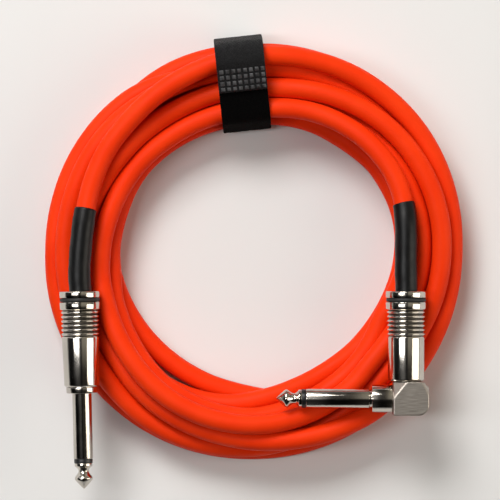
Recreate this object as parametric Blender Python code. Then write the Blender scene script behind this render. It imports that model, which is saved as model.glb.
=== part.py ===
"""Coiled instrument cable with one straight and one right-angle 1/4 inch plug.

The cable lies flat on z = 0, coiled anticlockwise about the Z axis, and a hook-and-loop strap
ties the coil at its +Y side. The straight plug lies on the -X side and points along -Y. The
right-angle plug lies on the +X side: its barrel runs along -Y and its pin points along -X.

All sizes below are in millimetres, and all places are about the coil's centre. place() moves
them to the frame, whose origin is at the middle of the whole object's footprint.
"""
import math

import bmesh
import bpy
import numpy as np
from mathutils import Matrix, Vector

MM = 0.001

# ---- cable and coil -------------------------------------------------------------------------
CABLE_R = 3.25              # PVC jacket
STRAND_CLEARANCE = 0.22     # air between neighbouring strands
PLUG_CLEARANCE = 0.45       # extra air round the two straight ends, which carry a sleeve
LAYER_RISE = 5.65           # height from one layer of strands to the next
COIL_CENTRE_Y = 2.6         # the coil's centre in the frame
COIL_OUTER_R = 66.0         # outermost strand centre
COIL_BULGE = 1.5            # the coil is this much wider across the +X +Y and -X -Y corners
COIL_INNER_R = 45.2         # innermost strand centre, at the -X side
COIL_INNER_STEP = 2.6       # the coil is this much thinner at its +X side
KEY_STEP = 30.0             # degrees between the entries of LANES
SAMPLE_STEP = 9.0           # degrees between two points of the cable's centre line
LAST_TURN = 8 * 360.0       # clock angle at which the ninth and last turn starts
COIL_START = -18.0          # clock angle where the cable leaves the right-angle plug
COIL_END = LAST_TURN + 198.0      # clock angle where it enters the straight plug
SLEEVED_FROM = LAST_TURN + 165.0  # from here on it runs along the straight plug's sleeve

# One row per turn, from the right-angle plug to the straight plug. Each pair is a strand's
# distance from the coil's centre and its layer, every KEY_STEP degrees anticlockwise from +X.
LANES = [
    [(50.0, 3.3), (52.9, 3.0), (50.9, 2.3), (47.4, 1.9), (46.7, 1.9), (48.7, 1.9),
     (50.6, 2.0), (52.8, 2.4), (56.0, 3.0), (57.2, 3.0), (55.5, 2.4), (53.0, 1.7)],
    [(56.4, 1.9), (55.4, 1.6), (54.0, 0.8), (51.0, 0.6), (51.2, 0.6), (53.5, 0.5),
     (53.5, 0.2), (54.0, 0.0), (54.0, 0.8), (50.6, 1.1), (47.7, 0.6), (47.9, 0.1)],
    [(52.0, 0.0), (54.2, 0.0), (48.2, 0.0), (45.2, 0.0), (45.7, 0.4), (47.8, 0.9),
     (48.5, 1.0), (49.8, 1.4), (54.6, 1.9), (54.4, 1.9), (51.4, 1.3), (49.8, 1.0)],
    [(51.8, 1.4), (55.6, 1.4), (55.6, 0.5), (56.0, 0.0), (56.4, 0.0), (53.4, 0.0),
     (48.6, 0.0), (46.0, 0.0), (45.5, 0.0), (48.2, 0.0), (53.0, 0.0), (55.6, 0.0)],
    [(57.3, 0.0), (59.0, 0.0), (60.4, 0.9), (60.5, 1.0), (63.4, 1.0), (66.2, 0.9),
     (66.0, 0.9), (66.7, 0.4), (67.0, 0.0), (65.8, 0.0), (65.3, 0.0), (65.6, 0.0)],
    [(65.8, 0.0), (66.9, 0.0), (66.4, 0.0), (65.0, 0.0), (64.2, 0.0), (63.8, 0.0),
     (62.0, 0.0), (60.8, 0.0), (60.0, 0.0), (59.5, 0.3), (60.2, 0.6), (61.0, 1.0)],
    [(60.6, 1.1), (61.0, 1.5), (61.8, 1.6), (60.4, 2.0), (61.2, 2.2), (62.6, 2.2),
     (61.8, 2.0), (62.4, 1.8), (66.0, 1.3), (65.0, 1.3), (61.2, 1.4), (61.7, 1.8)],
    [(61.1, 2.3), (61.6, 2.6), (58.4, 2.3), (54.4, 2.0), (53.1, 2.0), (54.4, 2.0),
     (56.0, 1.8), (56.9, 1.9), (59.2, 2.1), (62.3, 2.4), (64.8, 2.2), (65.6, 1.6)],
    [(65.3, 1.2), (67.2, 1.6), (66.9, 2.3), (63.8, 2.9), (60.7, 2.9), (58.0, 3.0),
     (56.5, 3.5), (60.0, 3.5)],
]

# How the strands settle into the coil, see lay_cable().
SETTLE_ROUNDS = 2400
SMOOTHING = 0.30
LANE_PULL = 0.06
HEIGHT_PULL = 0.30          # share of the pull that acts on the height
SAG = 0.02
PUSH = 0.45
SETTLED_AT = 0.8            # share of the rounds after which all but the pushing fades out

# ---- plugs ----------------------------------------------------------------------------------
PLUG_Z = 23.4               # both plugs lie on top of the coil at this height
UNDER_PLUG_GAP = 0.35       # air between a plug and the strands it lies on
STRAIGHT_REAR = (-57.1, -13.0)    # centre of the straight plug's rear opening
STRAIGHT_LEAN = 1.3         # degrees the straight plug leans from -Y
STRAIGHT_BEND = (-57.4, 1.0)      # corner and end of the sleeved cable's gentle bend
STRAIGHT_BEND_END = (-55.0, 14.6)
ANGLED_X = 50.0             # the right-angle plug's barrel runs along -Y at this X
ANGLED_REAR_Y = -13.0
ANGLED_STRAIGHT_TO = 9.0    # clock angle up to which its cable runs straight

SLEEVE_R = 3.175            # the 6.35 mm (1/4 inch) plug standard
SLEEVE_LENGTH = 21.6
INSULATOR_LENGTH = 1.4
TIP_RING_R = 2.95
TIP_NECK_R = 1.65
TIP_BALL_R = 2.95
TIP_LENGTH = 8.4
ROD_R = 1.05                # the tip's rod through the sleeve
CORE_BORE_R = 2.2
BUSH_R = (1.35, 1.9)        # insulating bush between rod and sleeve
FIT = 0.15                  # air between pieces that touch on the real plug

BARREL_R = 6.2
STRAIGHT_PLAIN_R = (6.15, 5.72)   # the barrels' plain part, at its rear and at its front
ANGLED_PLAIN_R = (6.05, 5.95)
BARREL_RIM_R = 6.65
BARREL_BORE_R = 4.95
BARREL_MOUTH_R = 4.7
RIM_LENGTH = 2.1
RING_GROOVE_LENGTH = 1.5
RING_GROOVE_R = 5.65
SECOND_RIM_LENGTH = 2.6
GROOVE_COUNT = 6
GROOVE_PITCH = 1.43
GROOVE_DEPTH = 0.45
STRAIGHT_BARREL_LENGTH = 31.3
ANGLED_BARREL_LENGTH = 29.4
BARREL_TRAVEL = 14.5        # how far back an unscrewed barrel finds room
SHANK_R = 4.55              # threaded shank inside the barrel
SHANK_LENGTH = 7.4
THREAD_PITCH = 1.0
THREAD_DEPTH = 0.3
STRAIGHT_COLLAR_R = 5.18
STRAIGHT_COLLAR_LENGTH = 2.1

ELBOW_SIZE = (11.7, 10.9, 12.4)
ELBOW_OFFSET_X = 1.45       # the block sits this much to +X of the barrel's axis
ELBOW_CORNER = 2.6          # chamfer on the upper corners
ELBOW_ROUND = 3.4           # round on the outer lower corner
ELBOW_REACH = 7.2           # the block as a round rod along X, for the strands below it
ELBOW_BORE_R = 3.4
PIN_BORE_R = 3.55
PIN_Y = -48.2               # the right-angle plug's pin runs along -X at this Y
ANGLED_COLLAR_R = 4.5
ANGLED_COLLAR_FACE_X = 38.8
PIN_SHANK_LENGTH = 2.6      # of the right-angle plug's sleeve contact, inside the elbow

# ---- cable ends inside the plugs, measured back from the shank's rear end --------------------
LUG_LENGTH = 6.0
LUG_WIDTH = 2.4
LUG_THICKNESS = 0.5
CORE_R = 1.3
WIRE_R = 0.35
JACKET_END = 10.5
CLAMP_START = 11.2
CLAMP_END = 15.2
CLAMP_R = 3.75
CLAMP_THICKNESS = 0.4
TUBE_R = (4.2, 4.55)
TUBE_LENGTH = 16.0
HEAT_SHRINK_R = (3.45, 3.68)
HEAT_SHRINK_START = 17.0
HEAT_SHRINK_LENGTH = 34.0   # the last 27 mm show behind the barrel

# ---- strap ----------------------------------------------------------------------------------
STRAP_CENTRE = (-3.65, 55.3)
STRAP_ANGLE = 96.0          # direction of the strap's middle line, seen from above
STRAP_WIDTH = 16.0
STRAP_FLOOR = 1.8           # the strands rise by this much to let the strap pass below
LOOP_OFFSET = 0.3
LOOP_THICKNESS = 1.2
HOOK_OFFSET = 1.75
HOOK_THICKNESS = 0.8
STRAP_RISE_LENGTH = 8.0     # the strands rise over this length, on both sides
WELD_RADIAL = (-1.9, 5.0)   # the hook band is welded to the loop band between these
SHOULDER_SLOPE = 0.15       # how far down the rounded shoulder the free end's hinge lies
TAB_GAP = 1.0               # from the tab's hinge to the hook band and to the loop band's end

# ---- joints ---------------------------------------------------------------------------------
HINGE_FROM_STRAP = 3.6      # from the strap's edge to the ball end of a free cable end
MOUTH_CLOCK = 6.0           # degrees from the ends of the centre line to the barrels' mouths

LATHE_STEPS = 24
SMALL_STEPS = 12


# ---- the cable's centre line ----------------------------------------------------------------
def catmull_rom(x, x_keys, keys):
    """Smooth curve through keys, evaluated at x."""
    last = len(x_keys) - 1
    i = np.clip(np.searchsorted(x_keys, x, side="right") - 1, 0, last - 1)
    t = (x - x_keys[i]) / (x_keys[i + 1] - x_keys[i])
    before, after = np.maximum(i - 1, 0), np.minimum(i + 2, last)
    a, b, c, d = keys[before], keys[i], keys[i + 1], keys[after]
    return 0.5 * (2 * b + (c - a) * t + (2 * a - 5 * b + 4 * c - d) * t**2
                  + (3 * b - a - 3 * c + d) * t**3)


def bend_radius_at(clock):
    """Distance from the coil's centre, along the straight plug's sleeved cable."""
    t = np.linspace(0.0, 1.0, 60)[:, None]
    rear, corner, end = (np.array(p) for p in (STRAIGHT_REAR, STRAIGHT_BEND, STRAIGHT_BEND_END))
    points = (1 - t)**2 * rear + 2 * t * (1 - t) * corner + t**2 * end
    angles = np.degrees(np.arctan2(points[:, 1], points[:, 0])) % 360
    return np.interp(clock, angles[::-1], np.hypot(*points.T)[::-1])


def plug_lines():
    """Stretches of both plugs that rest on the coil: start, end and radius.

    The barrels' stretches reach as far back as the unscrewed barrels slide.
    """
    lean = math.radians(STRAIGHT_LEAN)
    along = np.array([math.sin(lean), -math.cos(lean)])
    rear = np.array(STRAIGHT_REAR)
    shoulder = rear + along * (STRAIGHT_BARREL_LENGTH + STRAIGHT_COLLAR_LENGTH)
    pin_length = SLEEVE_LENGTH + INSULATOR_LENGTH + TIP_LENGTH
    elbow_front = PIN_Y - ELBOW_SIZE[1] / 2
    elbow_side = ANGLED_X + ELBOW_OFFSET_X - ELBOW_SIZE[0] / 2
    elbow_outer = elbow_side + ELBOW_SIZE[0]
    return [
        (rear - along * BARREL_TRAVEL, shoulder, BARREL_RIM_R),
        (shoulder, shoulder + along * pin_length, SLEEVE_R),
        (np.array([ANGLED_X, ANGLED_REAR_Y + BARREL_TRAVEL]), np.array([ANGLED_X, elbow_front]),
         BARREL_RIM_R),
        (np.array([elbow_side + 2, PIN_Y]), np.array([elbow_outer - 2, PIN_Y]), ELBOW_REACH),
        (np.array([elbow_side, PIN_Y]), np.array([ANGLED_COLLAR_FACE_X, PIN_Y]), ANGLED_COLLAR_R),
        (np.array([ANGLED_COLLAR_FACE_X, PIN_Y]),
         np.array([ANGLED_COLLAR_FACE_X - pin_length, PIN_Y]), SLEEVE_R),
    ]


def ceiling_under_plugs(x, y, lines):
    """Greatest height a strand's centre can have where it passes below a plug."""
    top = np.full(len(x), 1000.0)
    for start, end, radius in lines:
        length = np.linalg.norm(end - start)
        ux, uy = (end - start) / length
        along = (x - start[0]) * ux + (y - start[1]) * uy
        aside = (y - start[1]) * ux - (x - start[0]) * uy
        past_end = np.maximum(np.maximum(-along, along - length), 0)
        away = np.hypot(aside, past_end)
        reach = radius + CABLE_R + UNDER_PLUG_GAP
        below = PLUG_Z - np.sqrt(np.maximum(reach**2 - away**2, 0))
        top = np.where(away < reach, np.minimum(top, below), top)
    return top


def lay_cable():
    """Centre line of the whole cable: clock angles, distances from the centre, and heights.

    The strands start in their lanes. They are then let settle: each is smoothed along its
    length, pulled towards its lane, and pushed off its neighbours, the floor and the plugs.
    """
    keys = np.array([pair for turn in LANES for pair in turn])
    key_angles = np.arange(len(keys)) * KEY_STEP
    clock = np.arange(COIL_START, COIL_END + 0.01, SAMPLE_STEP)
    lane_r = catmull_rom(clock, key_angles, keys[:, 0])
    lane_z = CABLE_R + LAYER_RISE * catmull_rom(clock, key_angles, keys[:, 1])
    turn = np.radians(clock)
    count = len(clock)

    at_angled = clock <= ANGLED_STRAIGHT_TO
    at_straight = clock >= SLEEVED_FROM
    lane_r[at_angled] = ANGLED_X / np.cos(turn[at_angled])
    lane_r[at_straight] = bend_radius_at(clock[at_straight] % 360)
    held = at_angled | at_straight
    lane_z[held] = PLUG_Z
    top_layer = np.clip(((lane_z - CABLE_R) / LAYER_RISE - 0.9) / 0.6, 0, 1)
    firmness = 1 + 5 * top_layer

    strap_x, strap_y = STRAP_CENTRE
    strap_turn = math.degrees(math.atan2(strap_y, strap_x))
    from_strap = np.radians(np.abs((clock - strap_turn + 180) % 360 - 180)) * strap_y
    rise_reach = STRAP_WIDTH / 2 + STRAP_RISE_LENGTH + 3
    over_strap = np.clip((rise_reach - from_strap) / STRAP_RISE_LENGTH, 0, 1)
    floor = CABLE_R + STRAP_FLOOR * over_strap
    inner = COIL_INNER_R + COIL_INNER_STEP * np.clip(np.cos(turn), 0, 1)
    outer = COIL_OUTER_R + COIL_BULGE * np.clip(np.sin(2 * turn), 0, 1)

    per_turn = round(360 / SAMPLE_STEP)
    pairs = np.array([(i, j) for i in range(count) for j in range(i + per_turn, count, per_turn)])
    one, two = pairs.T
    spacing = 2 * CABLE_R + STRAND_CLEARANCE + PLUG_CLEARANCE * (held[one] | held[two])
    lines = plug_lines()
    arc = math.radians(SAMPLE_STEP)
    r, z = lane_r.copy(), lane_z.copy()
    for step in range(SETTLE_ROUNDS):
        fading = min(1.0, (1 - step / SETTLE_ROUNDS) / (1 - SETTLED_AT))
        pull = LANE_PULL * fading * firmness[1:-1]
        r_bend = (r[:-2] + r[2:]) / 2 - r[1:-1]
        z_bend = (z[:-2] + z[2:]) / 2 - z[1:-1]
        r[1:-1] += SMOOTHING * fading * r_bend + pull * (lane_r - r)[1:-1]
        z[1:-1] += SMOOTHING * fading * z_bend + HEIGHT_PULL * pull * (lane_z - z)[1:-1]
        z[1:-1] -= SAG * fading
        for _ in range(3):
            slope_r, slope_z = np.gradient(r) / (arc * r), np.gradient(z) / (arc * r)
            gap_r, gap_z = r[two] - r[one], z[two] - z[one]
            gap = np.hypot(gap_r, gap_z) + 1e-9
            gap_r, gap_z = gap_r / gap, gap_z / gap
            crossing = (slope_r[two] - slope_r[one]) * gap_r + (slope_z[two] - slope_z[one]) * gap_z
            wanted = spacing * np.sqrt(1 + np.minimum(crossing**2, 0.25))
            push = PUSH * np.maximum(wanted - gap, 0)
            for move, part in ((r, push * gap_r), (z, push * gap_z)):
                np.add.at(move, one, -part)
                np.add.at(move, two, part)
            ceiling = ceiling_under_plugs(r * np.cos(turn), r * np.sin(turn), lines)
            z = np.maximum(np.where(held, z, np.minimum(z, ceiling)), floor)
            r = np.clip(r, inner, outer)
            r[held], z[held] = lane_r[held], lane_z[held]
    return clock, r, z


class CablePath:
    """The settled centre line, read at any clock angle."""

    def __init__(self):
        self.clock, self.r, self.z = lay_cable()

    def point(self, clock):
        r = catmull_rom(np.array([clock]), self.clock, self.r)[0]
        z = catmull_rom(np.array([clock]), self.clock, self.z)[0]
        turn = math.radians(clock)
        return Vector((r * math.cos(turn), r * math.sin(turn), z))

    def between(self, start, end):
        """Points from clock angle start to end, at the centre line's own samples."""
        inside = self.clock[(self.clock > start + 2) & (self.clock < end - 2)]
        return [self.point(c) for c in (start, *inside, end)]

    def clock_at_distance(self, clock, distance):
        """Clock angle that lies this far along the cable from another one."""
        step = math.copysign(0.25, distance)
        here, travelled = self.point(clock), 0.0
        while travelled < abs(distance):
            clock += step
            there = self.point(clock)
            travelled += (there - here).length
            here = there
        return clock


# ---- making objects -------------------------------------------------------------------------
def make_material(name, colour, roughness, metallic=0.0):
    material = bpy.data.materials.new(name)
    material.use_nodes = True
    shader = material.node_tree.nodes["Principled BSDF"]
    shader.inputs["Base Color"].default_value = (*colour, 1.0)
    shader.inputs["Roughness"].default_value = roughness
    shader.inputs["Metallic"].default_value = metallic
    return material


def add_empty(name, position, parent=None):
    """An empty on a joint's axis, which carries the pieces that the joint moves."""
    empty = bpy.data.objects.new(name, None)
    bpy.context.collection.objects.link(empty)
    place(empty, Matrix.Translation(Vector(position) * MM), parent)
    return empty


def place(piece, matrix, parent):
    """Put a piece where a matrix about the coil's centre says, also under a parent."""
    matrix = Matrix.Translation((0, COIL_CENTRE_Y * MM, 0)) @ matrix
    piece["world"] = [value for row in matrix for value in row]
    if parent is not None:
        flat = list(parent["world"])
        parent_matrix = Matrix([flat[i:i + 4] for i in range(0, 16, 4)])
        piece.parent = parent
        matrix = parent_matrix.inverted() @ matrix
    piece.matrix_local = matrix


def add_mesh(name, bm, material, matrix, parent=None, sharp=35):
    """Turn a bmesh in millimetres into an object in metres, shaded smooth."""
    bmesh.ops.remove_doubles(bm, verts=bm.verts, dist=1e-4)
    bmesh.ops.recalc_face_normals(bm, faces=bm.faces)
    bmesh.ops.scale(bm, vec=(MM, MM, MM), verts=bm.verts)
    mesh = bpy.data.meshes.new(name)
    bm.to_mesh(mesh)
    bm.free()
    mesh.materials.append(material)
    mesh.shade_smooth()
    mesh.set_sharp_from_angle(angle=math.radians(sharp))
    piece = bpy.data.objects.new(name, mesh)
    bpy.context.collection.objects.link(piece)
    place(piece, matrix, parent)
    return piece


def lathe(name, outline, material, matrix, parent=None, steps=LATHE_STEPS):
    """Turn an outline of (along, radius) points about the local Z axis.

    A hollow piece's outline is closed; a solid one starts and ends on the axis.
    """
    bm = bmesh.new()
    verts = [bm.verts.new((radius, 0, along)) for along, radius in outline]
    solid = outline[0][1] == 0
    ends = verts if solid else verts + verts[:1]
    for first, second in zip(ends, ends[1:]):
        bm.edges.new((first, second))
    bmesh.ops.spin(bm, geom=bm.verts[:] + bm.edges[:], cent=(0, 0, 0), axis=(0, 0, 1),
                   angle=math.tau, steps=steps, use_merge=True)
    return add_mesh(name, bm, material, matrix, parent)


def path_frames(points):
    """Side and up directions at each point of a path, with no twist against Z."""
    frames = []
    for i in range(len(points)):
        ahead = (points[min(i + 1, len(points) - 1)] - points[max(i - 1, 0)]).normalized()
        side = ahead.cross(Vector((0, 0, 1)))
        side = side.normalized() if side.length > 1e-6 else Vector((1, 0, 0))
        frames.append((side, side.cross(ahead)))
    return frames


def ring_of(bm, centre, frame, radius, sides):
    side, up = frame
    angles = [math.tau * k / sides for k in range(sides)]
    return [bm.verts.new(centre + radius * (side * math.cos(a) + up * math.sin(a))) for a in angles]


def skin(bm, rings):
    """Faces between neighbouring rings of vertices."""
    for first, second in zip(rings, rings[1:]):
        for k in range(len(first)):
            n = (k + 1) % len(first)
            bm.faces.new((first[k], first[n], second[n], second[k]))


def cord(name, points, radius, material, parent=None, sides=8, ball_start=False):
    """A round solid cord along points; ball_start rounds its first end about points[0]."""
    points = [Vector(p) for p in points]
    frames = path_frames(points)
    bm = bmesh.new()
    rings = []
    if ball_start:
        back = (points[0] - points[1]).normalized()
        for angle in (15, 45, 70):
            tilt = math.radians(angle)
            centre = points[0] + back * radius * math.cos(tilt)
            rings.append(ring_of(bm, centre, frames[0], radius * math.sin(tilt), sides))
    rings += [ring_of(bm, p, f, radius, sides) for p, f in zip(points, frames)]
    skin(bm, rings)
    bm.faces.new(rings[0])
    bm.faces.new(rings[-1])
    return add_mesh(name, bm, material, Matrix(), parent, sharp=60)


def pipe(name, points, inner, outer, material, parent=None, sides=12):
    """A hollow tube along points, open at both ends."""
    points = [Vector(p) for p in points]
    frames = path_frames(points)
    bm = bmesh.new()
    outside = [ring_of(bm, p, f, outer, sides) for p, f in zip(points, frames)]
    inside = [ring_of(bm, p, f, inner, sides) for p, f in zip(points, frames)]
    skin(bm, outside + inside[::-1] + outside[:1])
    return add_mesh(name, bm, material, Matrix(), parent, sharp=50)


def box(name, low, high, material, matrix, parent=None):
    bm = bmesh.new()
    bmesh.ops.create_cube(bm, size=1)
    low, high = Vector(low), Vector(high)
    for vert in bm.verts:
        vert.co = [low[k] + (vert.co[k] + 0.5) * (high[k] - low[k]) for k in range(3)]
    return add_mesh(name, bm, material, matrix, parent)


def frame_along(position, direction):
    """Matrix whose local +Z runs along direction and whose local +Y points up."""
    ahead = Vector(direction).normalized()
    up = Vector((0, 0, 1))
    side = up.cross(ahead)
    turn = Matrix((side, up, ahead)).transposed()
    return Matrix.Translation(Vector(position) * MM) @ turn.to_4x4()


# ---- turned outlines ------------------------------------------------------------------------
def barrel_outline(length, plain_r):
    """Barrel from its rear opening at -length to its front edge at 0."""
    z = -length
    outer = [(z, BARREL_RIM_R - 0.4), (z + 0.4, BARREL_RIM_R)]
    z += RIM_LENGTH
    outer += [(z, BARREL_RIM_R), (z, RING_GROOVE_R)]
    z += RING_GROOVE_LENGTH
    outer += [(z, RING_GROOVE_R), (z, BARREL_RIM_R)]
    z += SECOND_RIM_LENGTH
    outer.append((z, BARREL_RIM_R))
    for _ in range(GROOVE_COUNT):
        outer += [(z + 0.4 * GROOVE_PITCH, BARREL_R - GROOVE_DEPTH), (z + GROOVE_PITCH, BARREL_R)]
        z += GROOVE_PITCH
    outer += [(z + 0.6, plain_r[0]), (-0.6, plain_r[1]), (0, plain_r[1] - 0.5)]
    inner = [(0, BARREL_BORE_R), (-length + 2.0, BARREL_BORE_R), (-length + 1.4, BARREL_MOUTH_R),
             (-length, BARREL_MOUTH_R)]
    return outer + inner


def thread_outline(start, length):
    """Outer outline of a threaded shank as V ridges, from start backwards to start - length."""
    points = []
    ridges = int(length / THREAD_PITCH) - 1
    for k in range(ridges):
        z = start - 0.5 - k * THREAD_PITCH
        points += [(z, SHANK_R - THREAD_DEPTH), (z - THREAD_PITCH / 2, SHANK_R)]
    points += [(start - length, SHANK_R - THREAD_DEPTH)]
    return points[::-1]


def tip_outline(rod_start):
    """Tip contact: its rod, the ring behind the neck, the neck, the ball and the point."""
    z = SLEEVE_LENGTH + INSULATOR_LENGTH
    return [
        (rod_start, 0), (rod_start, ROD_R), (z, ROD_R), (z, TIP_RING_R), (z + 0.9, TIP_RING_R),
        (z + 1.4, TIP_NECK_R + 0.5), (z + 2.4, TIP_NECK_R), (z + 3.1, TIP_NECK_R + 0.1),
        (z + 4.4, TIP_BALL_R - 0.15), (z + 5.1, TIP_BALL_R), (z + 5.8, TIP_BALL_R - 0.25),
        (z + 7.6, 1.1), (z + 8.2, 0.5), (z + TIP_LENGTH, 0),
    ]


def sleeve_outline(rear, collar):
    """Sleeve contact from its rear end to its front edge, round the bush.

    collar is the outer outline of everything up to the sleeve's own cylinder.
    """
    return collar + [(SLEEVE_LENGTH - 0.2, SLEEVE_R), (SLEEVE_LENGTH, SLEEVE_R - 0.2),
                     (SLEEVE_LENGTH, CORE_BORE_R), (rear, CORE_BORE_R)]


# ---- the pieces every plug has --------------------------------------------------------------
def add_pin(prefix, matrix, rod_start, materials, parent):
    """Tip contact, its black insulator ring and the bush round its rod."""
    lathe(prefix + "_tip_contact", tip_outline(rod_start), materials["nickel"], matrix, parent, 16)
    front = SLEEVE_LENGTH
    ring = [(front + FIT, TIP_RING_R + 0.1), (front + INSULATOR_LENGTH - FIT, TIP_RING_R + 0.1),
            (front + INSULATOR_LENGTH - FIT, BUSH_R[0]), (front + FIT, BUSH_R[0])]
    lathe(prefix + "_tip_insulator", ring, materials["insulator"], matrix, parent, 16)
    bush = [(rod_start + 2.5, BUSH_R[1]), (front - FIT, BUSH_R[1]),
            (front - FIT, BUSH_R[0]), (rod_start + 2.5, BUSH_R[0])]
    lathe(prefix + "_rod_bush", bush, materials["dielectric"], matrix, parent, SMALL_STEPS)


def add_barrel(prefix, length, plain_r, front, parent, materials):
    """Barrel and its black ring; the ring carries the barrel, which turns in it."""
    ring_start = -length + RIM_LENGTH + FIT
    ring_end = ring_start + RING_GROOVE_LENGTH - 2 * FIT
    ring_r = (RING_GROOVE_R + 0.25, BARREL_RIM_R - 0.15)
    lathe(prefix + "_barrel_ring",
          [(ring_start, ring_r[1]), (ring_end, ring_r[1]), (ring_end, ring_r[0]),
           (ring_start, ring_r[0])], materials["ring"], front, parent)
    outline = barrel_outline(length, plain_r)
    lathe(prefix + "_barrel", outline, materials["nickel"], front, parent)


def add_ground_lug(prefix, rear, materials, parent):
    """Strip from the shank back to the two claws that grip the jacket."""
    bm = bmesh.new()
    claw_half, strip_half, step = 140, 20, 20
    angles = range(-claw_half, claw_half + 1, step)
    stations = (-CLAMP_END, -CLAMP_START, -0.4)
    grid = [[bm.verts.new((CLAMP_R * math.sin(math.radians(a)), -CLAMP_R * math.cos(math.radians(a)), z))
             for a in angles] for z in stations]
    for row in range(2):
        for k, angle in enumerate(angles):
            last = k == len(angles) - 1
            if last or (row == 1 and not -strip_half <= angle < strip_half):
                continue
            bm.faces.new((grid[row][k], grid[row][k + 1], grid[row + 1][k + 1], grid[row + 1][k]))
    loose = [v for v in bm.verts if not v.link_faces]
    bmesh.ops.delete(bm, geom=loose, context="VERTS")
    lug = add_mesh(prefix + "_ground_lug", bm, materials["lug"], rear, parent)
    thicken = lug.modifiers.new("sheet", "SOLIDIFY")
    thicken.thickness = CLAMP_THICKNESS * MM
    thicken.offset = 0.0


def add_cable_end(prefix, rear, axis_points, materials, parent):
    """The stripped end: jacket, core, wire and shield, and the sleeves round it.

    rear is the frame at the shank's rear end, whose +Z runs to the plug's front. axis_points
    is the jacket's centre line, from its ball end to the plug.
    """
    def local(x, y, z):
        return rear @ (Vector((x, y, z)) * MM) / MM

    jacket = axis_points + [local(0, 0, -HEAT_SHRINK_START), local(0, 0, -JACKET_END)]
    cord(prefix + "_cable_end", jacket, CABLE_R, materials["jacket"], parent, ball_start=True)
    cord(prefix + "_core", [local(0, 0, -JACKET_END + FIT), local(0, 0, -7.0)], CORE_R,
         materials["dielectric"], parent)
    cord(prefix + "_centre_wire", [local(0, 0, -7.0 + FIT), local(0, 0, -3.0)], WIRE_R,
         materials["copper"], parent, sides=6)
    cord(prefix + "_shield_pigtail",
         [local(0, -2.2, -JACKET_END + FIT), local(0, -2.4, -8.5), local(0, -2.75, -6.0),
          local(0, -2.8, -3.0)], 0.5, materials["copper"], parent, sides=6)
    lug_top = -WIRE_R - 0.1
    box(prefix + "_tip_lug", (-LUG_WIDTH / 2, lug_top - LUG_THICKNESS, -LUG_LENGTH),
        (LUG_WIDTH / 2, lug_top, -0.3), materials["lug"], rear, parent)
    add_ground_lug(prefix, rear, materials, parent)
    tube = [(-TUBE_LENGTH, TUBE_R[1]), (-0.4, TUBE_R[1]), (-0.4, TUBE_R[0]), (-TUBE_LENGTH, TUBE_R[0])]
    lathe(prefix + "_insulating_tube", tube, materials["clear"], rear, parent)


def add_heat_shrink(prefix, rear, axis_points, materials, parent):
    """Sleeve from inside the barrel back along the cable."""
    points = [rear @ Vector((0, 0, -HEAT_SHRINK_START * MM)) / MM]
    left = HEAT_SHRINK_LENGTH
    for point in reversed(axis_points):
        ahead = point - points[-1]
        if ahead.length >= left:
            points.append(points[-1] + ahead.normalized() * left)
            break
        left -= ahead.length
        points.append(point)
    pipe(prefix + "_heat_shrink", points, *HEAT_SHRINK_R, materials["heat_shrink"], parent)


# ---- strap ----------------------------------------------------------------------------------
class StrapLine:
    """The taut line round the strands in the strap's plane, measured by its length.

    Length 0 is low on the coil's outer side. It grows up that side, over the top, down in the
    coil's hole and back below the strands; past one_turn the line runs up the outer side again.
    """

    def __init__(self, path):
        lean = math.radians(STRAP_ANGLE)
        self.out = Vector((math.cos(lean), math.sin(lean), 0))
        self.across = Vector((math.sin(lean), -math.cos(lean), 0))
        self.origin = Vector((*STRAP_CENTRE, 0))
        centres = []
        for clock in np.arange(COIL_START + 60, COIL_END - 60, 1.5):
            point = path.point(clock)
            if abs((point - self.origin).dot(self.across)) < STRAP_WIDTH / 2 + 0.5 and point.y > 0:
                centres.append(((point - self.origin).dot(self.out), point.z))
        centres = np.array(centres)
        self.points, self.normals = [], []
        for angle in np.radians(np.arange(-20, 430.1, 10)):
            normal = np.array([math.cos(angle), math.sin(angle)])
            centre = centres[np.argmax(centres @ normal)]
            self.points.append(centre + CABLE_R * normal)
            self.normals.append(normal)
        self.points, self.normals = np.array(self.points), np.array(self.normals)
        steps = np.hypot(*np.diff(self.points, axis=0).T)
        self.length = np.concatenate([[0], np.cumsum(steps)])
        self.one_turn = self.length[36]

    def at(self, length, offset, across=0.0):
        """World point this far along the line, out from it, and across the strap."""
        point = [np.interp(length, self.length, self.points[:, k]) for k in range(2)]
        normal = [np.interp(length, self.length, self.normals[:, k]) for k in range(2)]
        size = math.hypot(*normal)
        out, up = (p + offset * n / size for p, n in zip(point, normal))
        return self.origin + self.out * out + Vector((0, 0, up)) + self.across * across

    def length_on_top(self, radial):
        """Length at which the line, on its way over the top, is this far out of the middle."""
        return next(s for s in np.arange(0, self.one_turn, 0.25)
                    if (self.at(s, 0) - self.origin).dot(self.out) < radial)


def strap_band(name, line, start, end, offset, thickness, material, matrix, parent=None):
    """A flat band along the strap line, from one length to another."""
    inside = [s for s in line.length if start + 0.4 < s < end - 0.4]
    bm = bmesh.new()
    rings = []
    to_local = matrix.inverted()
    for s in (start, *inside, end):
        corners = [(offset, -STRAP_WIDTH / 2), (offset + thickness, -STRAP_WIDTH / 2),
                   (offset + thickness, STRAP_WIDTH / 2), (offset, STRAP_WIDTH / 2)]
        rings.append([bm.verts.new(to_local @ (line.at(s, o, a) * MM) / MM) for o, a in corners])
    skin(bm, rings)
    bm.faces.new(rings[0])
    bm.faces.new(rings[-1])
    return add_mesh(name, bm, material, matrix, parent)


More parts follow.
